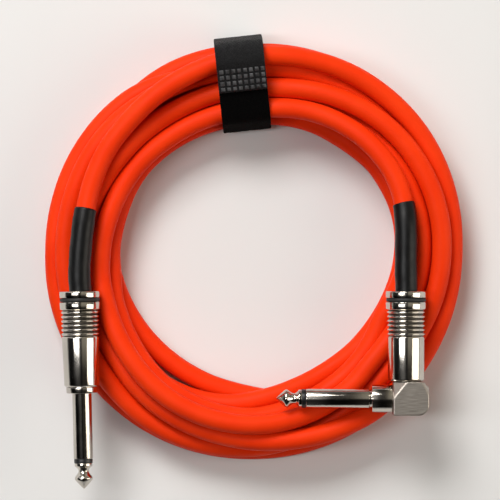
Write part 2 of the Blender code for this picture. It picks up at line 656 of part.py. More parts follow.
# ---- assembly -------------------------------------------------------------------------------
def build_coil(path, materials):
    """The tied coil, and the clock angles of the ball ends of its two free ends."""
    edge = STRAP_WIDTH / 2 + HINGE_FROM_STRAP
    angled_ball = path.clock_at_distance(strap_clock(path, 0), -edge)
    straight_ball = path.clock_at_distance(strap_clock(path, LAST_TURN), edge)
    gap = CABLE_R + 0.3
    start = path.clock_at_distance(angled_ball, gap)
    end = path.clock_at_distance(straight_ball, -gap)
    cord("cable_coil", path.between(start, end), CABLE_R, materials["jacket"])
    return angled_ball, straight_ball


def strap_clock(path, turn_start):
    """Clock angle where the turn that starts here passes under the strap's middle line."""
    lean = math.radians(STRAP_ANGLE)
    across = Vector((math.sin(lean), -math.cos(lean), 0))
    origin = Vector((*STRAP_CENTRE, 0))
    clocks = np.arange(80, 110, 0.25) + turn_start
    return float(min(clocks, key=lambda c: abs((path.point(c) - origin).dot(across))))


def build_strap(path, materials):
    """Loop band round the strands, and the hook band welded to it, whose free end peels off."""
    line = StrapLine(path)
    hinge = shoulder_length(line)
    loop_start = line.length_on_top(WELD_RADIAL[1] + 1.0)
    loop_end = line.one_turn + hinge - TAB_GAP
    strap_band("strap_loop_band", line, loop_start, loop_end, LOOP_OFFSET, LOOP_THICKNESS,
               materials["loop"], Matrix())
    strap_band("strap_hook_band", line, hinge + TAB_GAP, line.length_on_top(WELD_RADIAL[0]),
               HOOK_OFFSET, HOOK_THICKNESS, materials["hook"], Matrix())
    hinge_point = line.at(hinge, HOOK_OFFSET + HOOK_THICKNESS / 2)
    axis = add_empty("strap_tab_axis", hinge_point)
    strap_band("strap_pull_tab", line, 0.0, hinge, HOOK_OFFSET, HOOK_THICKNESS,
               materials["hook"], Matrix.Translation(hinge_point * MM), axis)


def shoulder_length(line):
    """Length at the top of the coil's outer side, where the strap's free end starts to peel."""
    lengths = np.arange(0, line.one_turn / 3, 0.25)
    return max(lengths, key=lambda s: (line.at(s, 0) - line.origin).dot(line.out)
               + SHOULDER_SLOPE * line.at(s, 0).z)


def build_straight_plug(path, ball, materials):
    lean = math.radians(STRAIGHT_LEAN)
    along = Vector((math.sin(lean), -math.cos(lean), 0))
    mouth = Vector((*STRAIGHT_REAR, PLUG_Z))
    barrel_front = mouth + along * STRAIGHT_BARREL_LENGTH
    shoulder = barrel_front + along * STRAIGHT_COLLAR_LENGTH
    pin = frame_along(shoulder, along)
    rear_z = -(STRAIGHT_COLLAR_LENGTH + SHANK_LENGTH)
    rear = frame_along(shoulder + along * rear_z, along)
    lift = add_empty("straight_lift_axis", path.point(ball))

    collar = thread_outline(-STRAIGHT_COLLAR_LENGTH - 0.1, SHANK_LENGTH - 0.1)
    collar += [(-STRAIGHT_COLLAR_LENGTH + FIT, SHANK_R - THREAD_DEPTH),
               (-STRAIGHT_COLLAR_LENGTH + FIT, STRAIGHT_COLLAR_R),
               (-0.3, STRAIGHT_COLLAR_R), (0, STRAIGHT_COLLAR_R - 0.3), (0, SLEEVE_R)]
    lathe("straight_sleeve_contact", sleeve_outline(rear_z, collar), materials["nickel"], pin, lift)
    add_pin("straight", pin, rear_z - 0.2, materials, lift)
    axis_points = path.between(ball, COIL_END - MOUTH_CLOCK)
    add_cable_end("straight", rear, axis_points, materials, lift)
    add_heat_shrink("straight", rear, axis_points, materials, lift)
    slide = add_empty("straight_barrel_axis", barrel_front, lift)
    add_barrel("straight", STRAIGHT_BARREL_LENGTH, STRAIGHT_PLAIN_R,
               frame_along(barrel_front, along), slide, materials)


def elbow_block(name, materials, lift, barrel_front):
    """Right-angle housing: a chamfered block, a threaded neck, and two bores that meet."""
    size_x, size_y, size_z = ELBOW_SIZE
    centre = Vector((ANGLED_X + ELBOW_OFFSET_X, PIN_Y, PLUG_Z))
    bm = bmesh.new()
    left, right = -size_x / 2, size_x / 2
    bottom, top = -size_y / 2, barrel_front.y - PIN_Y - 0.3
    outline = [(left, bottom), (right - ELBOW_ROUND, bottom)]
    for angle in (-60, -30):
        turn = math.radians(angle)
        outline.append((right - ELBOW_ROUND + ELBOW_ROUND * math.cos(turn),
                        bottom + ELBOW_ROUND + ELBOW_ROUND * math.sin(turn)))
    outline += [(right, bottom + ELBOW_ROUND), (right, top - ELBOW_CORNER),
                (right - ELBOW_CORNER * 0.7, top), (left + ELBOW_CORNER * 0.4, top),
                (left, top - ELBOW_CORNER * 0.6)]
    base = bm.faces.new([bm.verts.new((x, y, -size_z / 2)) for x, y in outline])
    pushed = bmesh.ops.extrude_face_region(bm, geom=[base])["geom"]
    lifted = [v for v in pushed if isinstance(v, bmesh.types.BMVert)]
    bmesh.ops.translate(bm, vec=(0, 0, size_z), verts=lifted)
    rims = [e for e in bm.edges if abs(e.verts[0].co.z - e.verts[1].co.z) < 1e-6]
    bmesh.ops.bevel(bm, geom=rims, offset=1.2, segments=2, profile=0.5, affect="EDGES")
    block = add_mesh(name, bm, materials["elbow"], Matrix.Translation(centre * MM), lift)

    barrel_frame = frame_along(barrel_front, (0, -1, 0))
    neck = [(2.0, 0), (2.0, SHANK_R - THREAD_DEPTH)]
    neck += thread_outline(-0.1, SHANK_LENGTH - 0.1)[::-1] + [(-SHANK_LENGTH, 0)]
    add_tool("elbow_neck", neck[::-1], barrel_frame, block, "UNION")
    depth = barrel_front.y - PIN_Y + 2.4
    add_tool("elbow_barrel_bore",
             [(-SHANK_LENGTH - 1, 0), (-SHANK_LENGTH - 1, ELBOW_BORE_R), (depth, ELBOW_BORE_R),
              (depth, 0)], barrel_frame, block, "DIFFERENCE")
    pin_frame = frame_along((ANGLED_X, PIN_Y, PLUG_Z), (-1, 0, 0))
    add_tool("elbow_pin_bore",
             [(0, 0), (0, PIN_BORE_R), (size_x, PIN_BORE_R), (size_x, 0)],
             pin_frame, block, "DIFFERENCE")


def add_tool(name, outline, matrix, target, operation):
    """A turned guide that a Boolean joins to a piece or cuts from it."""
    tool = lathe(name, outline, target.data.materials[0], matrix, steps=LATHE_STEPS)
    tool.hide_render = True
    tool.display_type = "WIRE"
    cut = target.modifiers.new(name, "BOOLEAN")
    cut.operation = operation
    cut.object = tool


def build_angled_plug(path, ball, materials):
    mouth = Vector((ANGLED_X, ANGLED_REAR_Y, PLUG_Z))
    barrel_front = mouth + Vector((0, -ANGLED_BARREL_LENGTH, 0))
    rear = frame_along(barrel_front + Vector((0, SHANK_LENGTH, 0)), (0, -1, 0))
    pin = frame_along((ANGLED_COLLAR_FACE_X, PIN_Y, PLUG_Z), (-1, 0, 0))
    lift = add_empty("angled_lift_axis", path.point(ball))

    elbow_block("angled_elbow", materials, lift, barrel_front)
    elbow_side = ANGLED_X + ELBOW_OFFSET_X - ELBOW_SIZE[0] / 2
    collar_back = -(elbow_side - ANGLED_COLLAR_FACE_X) + FIT
    shank_back = collar_back - PIN_SHANK_LENGTH
    collar = [(shank_back, PIN_BORE_R - 0.3), (collar_back, PIN_BORE_R - 0.3),
              (collar_back, ANGLED_COLLAR_R), (-0.3, ANGLED_COLLAR_R), (0, ANGLED_COLLAR_R - 0.3),
              (0, SLEEVE_R), (0.3, SLEEVE_R - 0.35), (0.9, SLEEVE_R - 0.35), (0.9, SLEEVE_R)]
    lathe("angled_sleeve_contact", sleeve_outline(shank_back, collar), materials["nickel"], pin,
          lift)
    rod_start = -(ANGLED_X - ANGLED_COLLAR_FACE_X) - 0.4
    add_pin("angled", pin, rod_start, materials, lift)
    axis_points = path.between(COIL_START + MOUTH_CLOCK, ball)[::-1]
    add_cable_end("angled", rear, axis_points, materials, lift)
    add_heat_shrink("angled", rear, axis_points, materials, lift)
    slide = add_empty("angled_barrel_axis", barrel_front, lift)
    add_barrel("angled", ANGLED_BARREL_LENGTH, ANGLED_PLAIN_R,
               frame_along(barrel_front, (0, -1, 0)), slide, materials)


def make_materials():
    return {
        "jacket": make_material("orange_jacket", (0.90, 0.06, 0.012), 0.42),
        "heat_shrink": make_material("black_heat_shrink", (0.012, 0.012, 0.013), 0.55),
        "nickel": make_material("bright_nickel", (0.72, 0.69, 0.64), 0.16, 1.0),
        "elbow": make_material("brushed_nickel", (0.66, 0.62, 0.56), 0.32, 1.0),
        "ring": make_material("black_rubber_ring", (0.010, 0.010, 0.010), 0.6),
        "insulator": make_material("black_insulator", (0.008, 0.008, 0.008), 0.35),
        "dielectric": make_material("white_dielectric", (0.80, 0.80, 0.78), 0.5),
        "copper": make_material("copper", (0.80, 0.36, 0.20), 0.3, 1.0),
        "lug": make_material("tinned_brass", (0.74, 0.66, 0.48), 0.3, 1.0),
        "clear": make_material("clear_tube", (0.70, 0.73, 0.75), 0.25),
        "loop": make_material("black_loop_pile", (0.014, 0.014, 0.015), 0.95),
        "hook": make_material("black_woven_hook", (0.016, 0.016, 0.018), 0.7),
    }


def main():
    for old in list(bpy.data.objects):
        bpy.data.objects.remove(old, do_unlink=True)
    materials = make_materials()
    path = CablePath()
    angled_ball, straight_ball = build_coil(path, materials)
    build_strap(path, materials)
    build_straight_plug(path, straight_ball, materials)
    build_angled_plug(path, angled_ball, materials)


main()
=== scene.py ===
"""Looks of the coiled instrument cable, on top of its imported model.

Sizes are in millimetres and places are about the coil's centre, as in part.py; finish_mesh()
moves them to the frame, in metres. The cable's centre line is worked out as part.py does it.
"""
import math

import bmesh
import bpy
import numpy as np
from mathutils import Matrix, Vector, noise


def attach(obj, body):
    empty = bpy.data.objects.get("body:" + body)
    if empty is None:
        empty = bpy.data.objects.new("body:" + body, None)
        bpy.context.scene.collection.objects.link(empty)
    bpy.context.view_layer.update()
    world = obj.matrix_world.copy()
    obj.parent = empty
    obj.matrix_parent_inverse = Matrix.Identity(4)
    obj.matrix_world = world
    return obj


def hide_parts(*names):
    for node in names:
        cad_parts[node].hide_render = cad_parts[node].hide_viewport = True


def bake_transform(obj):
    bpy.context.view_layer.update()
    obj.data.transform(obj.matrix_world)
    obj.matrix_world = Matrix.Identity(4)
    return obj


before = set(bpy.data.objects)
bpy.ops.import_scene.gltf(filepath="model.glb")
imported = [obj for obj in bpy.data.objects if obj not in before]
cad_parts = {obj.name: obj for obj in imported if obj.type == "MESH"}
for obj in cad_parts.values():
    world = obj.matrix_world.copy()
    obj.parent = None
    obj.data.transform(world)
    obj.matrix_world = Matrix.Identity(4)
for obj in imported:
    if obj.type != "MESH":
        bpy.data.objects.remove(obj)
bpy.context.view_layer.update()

MM = 0.001

# ---- cable and coil ----
CABLE_R = 3.25              # PVC jacket
STRAND_CLEARANCE = 0.22     # air between neighbouring strands
PLUG_CLEARANCE = 0.45       # extra air round the two straight ends, which carry a sleeve
LAYER_RISE = 5.65           # height from one layer of strands to the next
COIL_CENTRE_Y = 2.6         # the coil's centre in the frame
COIL_OUTER_R = 66.0         # outermost strand centre
COIL_BULGE = 1.5            # the coil is this much wider across the +X +Y and -X -Y corners
COIL_INNER_R = 45.2         # innermost strand centre, at the -X side
COIL_INNER_STEP = 2.6       # the coil is this much thinner at its +X side
KEY_STEP = 30.0             # degrees between the entries of LANES
SAMPLE_STEP = 9.0           # degrees between two points of the cable's centre line
LAST_TURN = 8 * 360.0       # clock angle at which the ninth and last turn starts
COIL_START = -18.0          # clock angle where the cable leaves the right-angle plug
COIL_END = LAST_TURN + 198.0      # clock angle where it enters the straight plug
SLEEVED_FROM = LAST_TURN + 165.0  # from here on it runs along the straight plug's sleeve

# One row per turn, from the right-angle plug to the straight plug. Each pair is a strand's
# distance from the coil's centre and its layer, every KEY_STEP degrees anticlockwise from +X.
LANES = [
    [(50.0, 3.3), (52.9, 3.0), (50.9, 2.3), (47.4, 1.9), (46.7, 1.9), (48.7, 1.9),
     (50.6, 2.0), (52.8, 2.4), (56.0, 3.0), (57.2, 3.0), (55.5, 2.4), (53.0, 1.7)],
    [(56.4, 1.9), (55.4, 1.6), (54.0, 0.8), (51.0, 0.6), (51.2, 0.6), (53.5, 0.5),
     (53.5, 0.2), (54.0, 0.0), (54.0, 0.8), (50.6, 1.1), (47.7, 0.6), (47.9, 0.1)],
    [(52.0, 0.0), (54.2, 0.0), (48.2, 0.0), (45.2, 0.0), (45.7, 0.4), (47.8, 0.9),
     (48.5, 1.0), (49.8, 1.4), (54.6, 1.9), (54.4, 1.9), (51.4, 1.3), (49.8, 1.0)],
    [(51.8, 1.4), (55.6, 1.4), (55.6, 0.5), (56.0, 0.0), (56.4, 0.0), (53.4, 0.0),
     (48.6, 0.0), (46.0, 0.0), (45.5, 0.0), (48.2, 0.0), (53.0, 0.0), (55.6, 0.0)],
    [(57.3, 0.0), (59.0, 0.0), (60.4, 0.9), (60.5, 1.0), (63.4, 1.0), (66.2, 0.9),
     (66.0, 0.9), (66.7, 0.4), (67.0, 0.0), (65.8, 0.0), (65.3, 0.0), (65.6, 0.0)],
    [(65.8, 0.0), (66.9, 0.0), (66.4, 0.0), (65.0, 0.0), (64.2, 0.0), (63.8, 0.0),
     (62.0, 0.0), (60.8, 0.0), (60.0, 0.0), (59.5, 0.3), (60.2, 0.6), (61.0, 1.0)],
    [(60.6, 1.1), (61.0, 1.5), (61.8, 1.6), (60.4, 2.0), (61.2, 2.2), (62.6, 2.2),
     (61.8, 2.0), (62.4, 1.8), (66.0, 1.3), (65.0, 1.3), (61.2, 1.4), (61.7, 1.8)],
    [(61.1, 2.3), (61.6, 2.6), (58.4, 2.3), (54.4, 2.0), (53.1, 2.0), (54.4, 2.0),
     (56.0, 1.8), (56.9, 1.9), (59.2, 2.1), (62.3, 2.4), (64.8, 2.2), (65.6, 1.6)],
    [(65.3, 1.2), (67.2, 1.6), (66.9, 2.3), (63.8, 2.9), (60.7, 2.9), (58.0, 3.0),
     (56.5, 3.5), (60.0, 3.5)],
]

# How the strands settle into the coil, see lay_cable().
SETTLE_ROUNDS = 2400
SMOOTHING = 0.30
LANE_PULL = 0.06
HEIGHT_PULL = 0.30          # share of the pull that acts on the height
SAG = 0.02
PUSH = 0.45
SETTLED_AT = 0.8            # share of the rounds after which all but the pushing fades out

# ---- plugs ----
PLUG_Z = 23.4               # both plugs lie on top of the coil at this height
UNDER_PLUG_GAP = 0.35       # air between a plug and the strands it lies on
STRAIGHT_REAR = (-57.1, -13.0)    # centre of the straight plug's rear opening
STRAIGHT_LEAN = 1.3         # degrees the straight plug leans from -Y
STRAIGHT_BEND = (-57.4, 1.0)      # corner and end of the sleeved cable's gentle bend
STRAIGHT_BEND_END = (-55.0, 14.6)
ANGLED_X = 50.0             # the right-angle plug's barrel runs along -Y at this X
ANGLED_REAR_Y = -13.0
ANGLED_STRAIGHT_TO = 9.0    # clock angle up to which its cable runs straight

SLEEVE_R = 3.175            # the 6.35 mm (1/4 inch) plug standard
SLEEVE_LENGTH = 21.6
INSULATOR_LENGTH = 1.4
TIP_RING_R = 2.95
TIP_LENGTH = 8.4
ROD_R = 1.05                # the tip's rod through the sleeve
CORE_BORE_R = 2.2           # through the sleeve
INSULATOR_BORE_R = 1.35
FIT = 0.15                  # air between pieces that touch on the real plug

BARREL_R = 6.2
STRAIGHT_PLAIN_R = (6.15, 5.72)   # the barrels' plain part, at its rear and at its front
ANGLED_PLAIN_R = (6.05, 5.95)
BARREL_RIM_R = 6.65
BARREL_BORE_R = 4.95
BARREL_MOUTH_R = 4.7
RIM_LENGTH = 2.1
RING_GROOVE_LENGTH = 1.5
RING_GROOVE_R = 5.65
SECOND_RIM_LENGTH = 2.6
GROOVE_COUNT = 6
GROOVE_PITCH = 1.43
STRAIGHT_BARREL_LENGTH = 31.3
ANGLED_BARREL_LENGTH = 29.4
BARREL_TRAVEL = 14.5        # how far back an unscrewed barrel finds room
SHANK_R = 4.55              # threaded shank inside the barrel
SHANK_LENGTH = 7.4
THREAD_PITCH = 1.0
THREAD_DEPTH = 0.3
STRAIGHT_COLLAR_R = 5.18
STRAIGHT_COLLAR_LENGTH = 2.1

ELBOW_SIZE = (11.7, 10.9, 12.4)
ELBOW_OFFSET_X = 1.45       # the block sits this much to +X of the barrel's axis
ELBOW_ROUND = 3.4           # round on the outer lower corner
ELBOW_CHAMFER = 1.9         # on the outer upper corner
ELBOW_REACH = 7.2           # the block as a round rod along X, for the strands below it
ELBOW_BORE_R = 3.4
PIN_BORE_R = 3.55
PIN_Y = -48.2               # the right-angle plug's pin runs along -X at this Y
ANGLED_COLLAR_R = 4.5
ANGLED_COLLAR_FACE_X = 38.8
PIN_SHANK_LENGTH = 2.6      # of the right-angle plug's sleeve contact, inside the elbow

# ---- cable ends inside the plugs, measured back from the shank's rear end ----
JACKET_END = 10.5
HEAT_SHRINK_R = 3.68
HEAT_SHRINK_START = 17.0
HEAT_SHRINK_LENGTH = 34.0   # the last 27 mm show behind the barrel

# ---- strap ----
STRAP_CENTRE = (-3.65, 55.3)
STRAP_ANGLE = 96.0          # direction of the strap's middle line, seen from above
STRAP_WIDTH = 16.0
STRAP_FLOOR = 1.8           # the strands rise by this much to let the strap pass below
LOOP_OFFSET = 0.3
LOOP_THICKNESS = 1.2
HOOK_OFFSET = 1.75
HOOK_THICKNESS = 0.8
STRAP_RISE_LENGTH = 8.0     # the strands rise over this length, on both sides
WELD_RADIAL = (-1.9, 5.0)   # the hook band is welded to the loop band between these
SHOULDER_SLOPE = 0.15       # how far down the rounded shoulder the free end's hinge lies
TAB_GAP = 1.0               # from the free end's hinge to the loop band's end

# ---- joints ----
HINGE_FROM_STRAP = 3.6      # from the strap's edge to the hinge of a free cable end
MOUTH_CLOCK = 6.0           # degrees from the ends of the centre line to the barrels' mouths

# ---- finer detail than the CAD holds ----
WELD_PITCH = (1.95, 1.93)   # of the weld's rows and columns of squares
WELD_COUNT = (4, 8)         # rows along the tape, and columns across it
WELD_MARGIN = (0.1, 0.5)    # from the tape's end, and from its -X edge
WELD_SQUARE = 0.42          # half width of a square, as a share of the pitch
WELD_MOLTEN = 0.31          # half width of its molten middle, likewise
WELD_DEPTH = 0.16           # the tape is pressed in by this much between the squares
SQUARE_HEIGHT = 0.26
WEAVE_HEIGHT = 0.05         # of the tape's ribs, one a millimetre
RIDGE_HALF_WIDTH = 0.42     # of the polished part of a barrel's ridge
PEEL_BLEND = 3.0            # reach to both sides of the free end's hinge; the points found with it are not used
FINE_STEP = 2.25            # degrees between two rings of the visible cable
LIFT_BLEND = (3.4, 7.0)     # from a free end's hinge towards the strap and away; the points found with it are not used
UV_LENGTH = 10.0            # length of a lathe's or a tube's outline in one unit of V

STRAP_LEAN = math.radians(STRAP_ANGLE)
STRAP_OUT = Vector((math.cos(STRAP_LEAN), math.sin(STRAP_LEAN), 0))
STRAP_ACROSS = Vector((math.sin(STRAP_LEAN), -math.cos(STRAP_LEAN), 0))
STRAP_ORIGIN = Vector((*STRAP_CENTRE, 0))

LEAN = math.radians(STRAIGHT_LEAN)
STRAIGHT_ALONG = Vector((math.sin(LEAN), -math.cos(LEAN), 0))
ANGLED_ALONG = Vector((0, -1, 0))
# Each plug's shank: the centre of its rear end, and the direction the barrel runs.
PLUG_REARS = {
    "straight": (Vector((*STRAIGHT_REAR, PLUG_Z))
                 + STRAIGHT_ALONG * (STRAIGHT_BARREL_LENGTH - SHANK_LENGTH), STRAIGHT_ALONG),
    "angled": (Vector((ANGLED_X, ANGLED_REAR_Y, PLUG_Z))
               + ANGLED_ALONG * (ANGLED_BARREL_LENGTH - SHANK_LENGTH), ANGLED_ALONG),
}

# ---- stage, in metres and in the frame ----
WORLD_STRENGTH = 0.45
HORIZON_COLOUR = (1.2, 1.2, 1.2)
# Name, position, size, power and colour. All point at the frame's origin.
LIGHTS = [
    ("key", (-0.36, 0.80, 0.92), (0.6, 0.5), 14.3, (1.0, 0.98, 0.95)),
    ("overhead", (-0.75, 0.02, 1.5), (0.30, 0.9), 7.0, (1.0, 1.0, 1.0)),
    ("left_card", (-0.94, 0.53, 0.54), (0.4, 0.4), 0.7, (1.0, 1.0, 1.0)),
    ("right_fill", (0.9, -0.1, 0.5), (0.4, 0.8), 3.6, (1.0, 0.93, 0.82)),
]
FLOOR_HALF_WIDTH = 3.0
FLOOR_Z = -0.0002           # just below the strap's underside
CAMERA_FIELD = 7.65         # degrees
CAMERA_PLACE = (-0.0012, 0.0005 + COIL_CENTRE_Y * MM, 1.25)


# ---- the cable's centre line ----
def catmull_rom(x, x_keys, keys):
    """Smooth curve through keys, evaluated at x."""
    last = len(x_keys) - 1
    i = np.clip(np.searchsorted(x_keys, x, side="right") - 1, 0, last - 1)
    t = (x - x_keys[i]) / (x_keys[i + 1] - x_keys[i])
    before, after = np.maximum(i - 1, 0), np.minimum(i + 2, last)
    a, b, c, d = keys[before], keys[i], keys[i + 1], keys[after]
    return 0.5 * (2 * b + (c - a) * t + (2 * a - 5 * b + 4 * c - d) * t**2
                  + (3 * b - a - 3 * c + d) * t**3)


def bend_radius_at(clock):
    """Distance from the coil's centre, along the straight plug's sleeved cable."""
    t = np.linspace(0.0, 1.0, 60)[:, None]
    rear, corner, end = (np.array(p) for p in (STRAIGHT_REAR, STRAIGHT_BEND, STRAIGHT_BEND_END))
    points = (1 - t)**2 * rear + 2 * t * (1 - t) * corner + t**2 * end
    angles = np.degrees(np.arctan2(points[:, 1], points[:, 0])) % 360
    return np.interp(clock, angles[::-1], np.hypot(*points.T)[::-1])


def plug_lines():
    """Stretches of both plugs that rest on the coil: start, end and radius.

    The barrels' stretches reach as far back as the unscrewed barrels slide.
    """
    along = np.array([math.sin(LEAN), -math.cos(LEAN)])
    rear = np.array(STRAIGHT_REAR)
    shoulder = rear + along * (STRAIGHT_BARREL_LENGTH + STRAIGHT_COLLAR_LENGTH)
    pin_length = SLEEVE_LENGTH + INSULATOR_LENGTH + TIP_LENGTH
    elbow_front = PIN_Y - ELBOW_SIZE[1] / 2
    elbow_side = ANGLED_X + ELBOW_OFFSET_X - ELBOW_SIZE[0] / 2
    elbow_outer = elbow_side + ELBOW_SIZE[0]
    return [
        (rear - along * BARREL_TRAVEL, shoulder, BARREL_RIM_R),
        (shoulder, shoulder + along * pin_length, SLEEVE_R),
        (np.array([ANGLED_X, ANGLED_REAR_Y + BARREL_TRAVEL]), np.array([ANGLED_X, elbow_front]),
         BARREL_RIM_R),
        (np.array([elbow_side + 2, PIN_Y]), np.array([elbow_outer - 2, PIN_Y]), ELBOW_REACH),
        (np.array([elbow_side, PIN_Y]), np.array([ANGLED_COLLAR_FACE_X, PIN_Y]), ANGLED_COLLAR_R),
        (np.array([ANGLED_COLLAR_FACE_X, PIN_Y]),
         np.array([ANGLED_COLLAR_FACE_X - pin_length, PIN_Y]), SLEEVE_R),
    ]


def ceiling_under_plugs(x, y, lines):
    """Greatest height a strand's centre can have where it passes below a plug."""
    top = np.full(len(x), 1000.0)
    for start, end, radius in lines:
        length = np.linalg.norm(end - start)
        ux, uy = (end - start) / length
        along = (x - start[0]) * ux + (y - start[1]) * uy
        aside = (y - start[1]) * ux - (x - start[0]) * uy
        past_end = np.maximum(np.maximum(-along, along - length), 0)
        away = np.hypot(aside, past_end)
        reach = radius + CABLE_R + UNDER_PLUG_GAP
        below = PLUG_Z - np.sqrt(np.maximum(reach**2 - away**2, 0))
        top = np.where(away < reach, np.minimum(top, below), top)
    return top


def lay_cable():
    """Centre line of the whole cable: clock angles, distances from the centre, and heights.

    The strands start in their lanes. They are then let settle: each is smoothed along its
    length, pulled towards its lane, and pushed off its neighbours, the floor and the plugs.
    """
    keys = np.array([pair for turn in LANES for pair in turn])
    key_angles = np.arange(len(keys)) * KEY_STEP
    clock = np.arange(COIL_START, COIL_END + 0.01, SAMPLE_STEP)
    lane_r = catmull_rom(clock, key_angles, keys[:, 0])
    lane_z = CABLE_R + LAYER_RISE * catmull_rom(clock, key_angles, keys[:, 1])
    turn = np.radians(clock)
    count = len(clock)

    at_angled = clock <= ANGLED_STRAIGHT_TO
    at_straight = clock >= SLEEVED_FROM
    lane_r[at_angled] = ANGLED_X / np.cos(turn[at_angled])
    lane_r[at_straight] = bend_radius_at(clock[at_straight] % 360)
    held = at_angled | at_straight
    lane_z[held] = PLUG_Z
    top_layer = np.clip(((lane_z - CABLE_R) / LAYER_RISE - 0.9) / 0.6, 0, 1)
    firmness = 1 + 5 * top_layer

    strap_x, strap_y = STRAP_CENTRE
    strap_turn = math.degrees(math.atan2(strap_y, strap_x))
    from_strap = np.radians(np.abs((clock - strap_turn + 180) % 360 - 180)) * strap_y
    rise_reach = STRAP_WIDTH / 2 + STRAP_RISE_LENGTH + 3
    over_strap = np.clip((rise_reach - from_strap) / STRAP_RISE_LENGTH, 0, 1)
    floor = CABLE_R + STRAP_FLOOR * over_strap
    inner = COIL_INNER_R + COIL_INNER_STEP * np.clip(np.cos(turn), 0, 1)
    outer = COIL_OUTER_R + COIL_BULGE * np.clip(np.sin(2 * turn), 0, 1)

    per_turn = round(360 / SAMPLE_STEP)
    pairs = np.array([(i, j) for i in range(count) for j in range(i + per_turn, count, per_turn)])
    one, two = pairs.T
    spacing = 2 * CABLE_R + STRAND_CLEARANCE + PLUG_CLEARANCE * (held[one] | held[two])
    lines = plug_lines()
    arc = math.radians(SAMPLE_STEP)
    r, z = lane_r.copy(), lane_z.copy()
    for step in range(SETTLE_ROUNDS):
        fading = min(1.0, (1 - step / SETTLE_ROUNDS) / (1 - SETTLED_AT))
        pull = LANE_PULL * fading * firmness[1:-1]
        r_bend = (r[:-2] + r[2:]) / 2 - r[1:-1]
        z_bend = (z[:-2] + z[2:]) / 2 - z[1:-1]
        r[1:-1] += SMOOTHING * fading * r_bend + pull * (lane_r - r)[1:-1]
        z[1:-1] += SMOOTHING * fading * z_bend + HEIGHT_PULL * pull * (lane_z - z)[1:-1]
        z[1:-1] -= SAG * fading
        for _ in range(3):
            slope_r, slope_z = np.gradient(r) / (arc * r), np.gradient(z) / (arc * r)
            gap_r, gap_z = r[two] - r[one], z[two] - z[one]
            gap = np.hypot(gap_r, gap_z) + 1e-9
            gap_r, gap_z = gap_r / gap, gap_z / gap
            crossing = (slope_r[two] - slope_r[one]) * gap_r + (slope_z[two] - slope_z[one]) * gap_z
            wanted = spacing * np.sqrt(1 + np.minimum(crossing**2, 0.25))
            push = PUSH * np.maximum(wanted - gap, 0)
            for move, part in ((r, push * gap_r), (z, push * gap_z)):
                np.add.at(move, one, -part)
                np.add.at(move, two, part)
            ceiling = ceiling_under_plugs(r * np.cos(turn), r * np.sin(turn), lines)
            z = np.maximum(np.where(held, z, np.minimum(z, ceiling)), floor)
            r = np.clip(r, inner, outer)
            r[held], z[held] = lane_r[held], lane_z[held]
    return clock, r, z


class CablePath:
    """The settled centre line, read at any clock angle."""

    def __init__(self):
        self.clock, self.r, self.z = lay_cable()

    def point(self, clock):
        r = catmull_rom(np.array([clock]), self.clock, self.r)[0]
        z = catmull_rom(np.array([clock]), self.clock, self.z)[0]
        turn = math.radians(clock)
        return Vector((r * math.cos(turn), r * math.sin(turn), z))

    def clock_at_distance(self, clock, distance):
        """Clock angle that lies this far along the cable from another one."""
        step = math.copysign(0.25, distance)
        here, travelled = self.point(clock), 0.0
        while travelled < abs(distance):
            clock += step
            there = self.point(clock)
            travelled += (there - here).length
            here = there
        return clock


class StrapLine:
    """The taut line round the strands in the strap's plane, measured by its length.

    Length 0 is low on the coil's outer side. It grows up that side, over the top, down in the
    coil's hole and back below the strands; past one_turn the line runs up the outer side again.
    """

    def __init__(self, path):
        centres = []
        for clock in np.arange(COIL_START + 60, COIL_END - 60, 1.5):
            point = path.point(clock)
            aside = abs((point - STRAP_ORIGIN).dot(STRAP_ACROSS))
            if aside < STRAP_WIDTH / 2 + 0.5 and point.y > 0:
                centres.append(((point - STRAP_ORIGIN).dot(STRAP_OUT), point.z))
        centres = np.array(centres)
        angles = np.radians(np.arange(-20, 430.1, 10))
        self.normals = np.column_stack([np.cos(angles), np.sin(angles)])
        outermost = np.argmax(self.normals @ centres.T, axis=1)
        self.points = centres[outermost] + CABLE_R * self.normals
        steps = np.hypot(*np.diff(self.points, axis=0).T)
        self.length = np.concatenate([[0], np.cumsum(steps)])
        self.one_turn = self.length[36]

    def at(self, length, offset, across=0.0):
        """World point this far along the line, out from it, and across the strap."""
        point = [np.interp(length, self.length, self.points[:, k]) for k in range(2)]
        normal = [np.interp(length, self.length, self.normals[:, k]) for k in range(2)]
        size = math.hypot(*normal)
        out, up = (p + offset * n / size for p, n in zip(point, normal))
        return STRAP_ORIGIN + STRAP_OUT * out + Vector((0, 0, up)) + STRAP_ACROSS * across

    def length_on_top(self, radial):
        """Length at which the line, on its way over the top, is this far out of the middle."""
        return next(s for s in np.arange(0, self.one_turn, 0.25)
                    if (self.at(s, 0) - STRAP_ORIGIN).dot(STRAP_OUT) < radial)


def strap_clock(path, turn_start):
    """Clock angle where the turn that starts here passes under the strap's middle line."""
    clocks = np.arange(80, 110, 0.25) + turn_start
    return float(min(clocks, key=lambda c: abs((path.point(c) - STRAP_ORIGIN).dot(STRAP_ACROSS))))


def shoulder_length(line):
    """Length at the top of the coil's outer side, where the strap's free end starts to peel."""
    lengths = np.arange(0, line.one_turn / 3, 0.25)
    return max(lengths, key=lambda s: (line.at(s, 0) - STRAP_ORIGIN).dot(STRAP_OUT)
               + SHOULDER_SLOPE * line.at(s, 0).z)


# ---- meshes ----
TO_FRAME = Matrix.Translation((0, COIL_CENTRE_Y * MM, 0)) @ Matrix.Scale(MM, 4)


def add_object(name, data, place=(0, 0, 0)):
    added = bpy.data.objects.new(name, data)
    added.location = place
    bpy.context.scene.collection.objects.link(added)
    return added


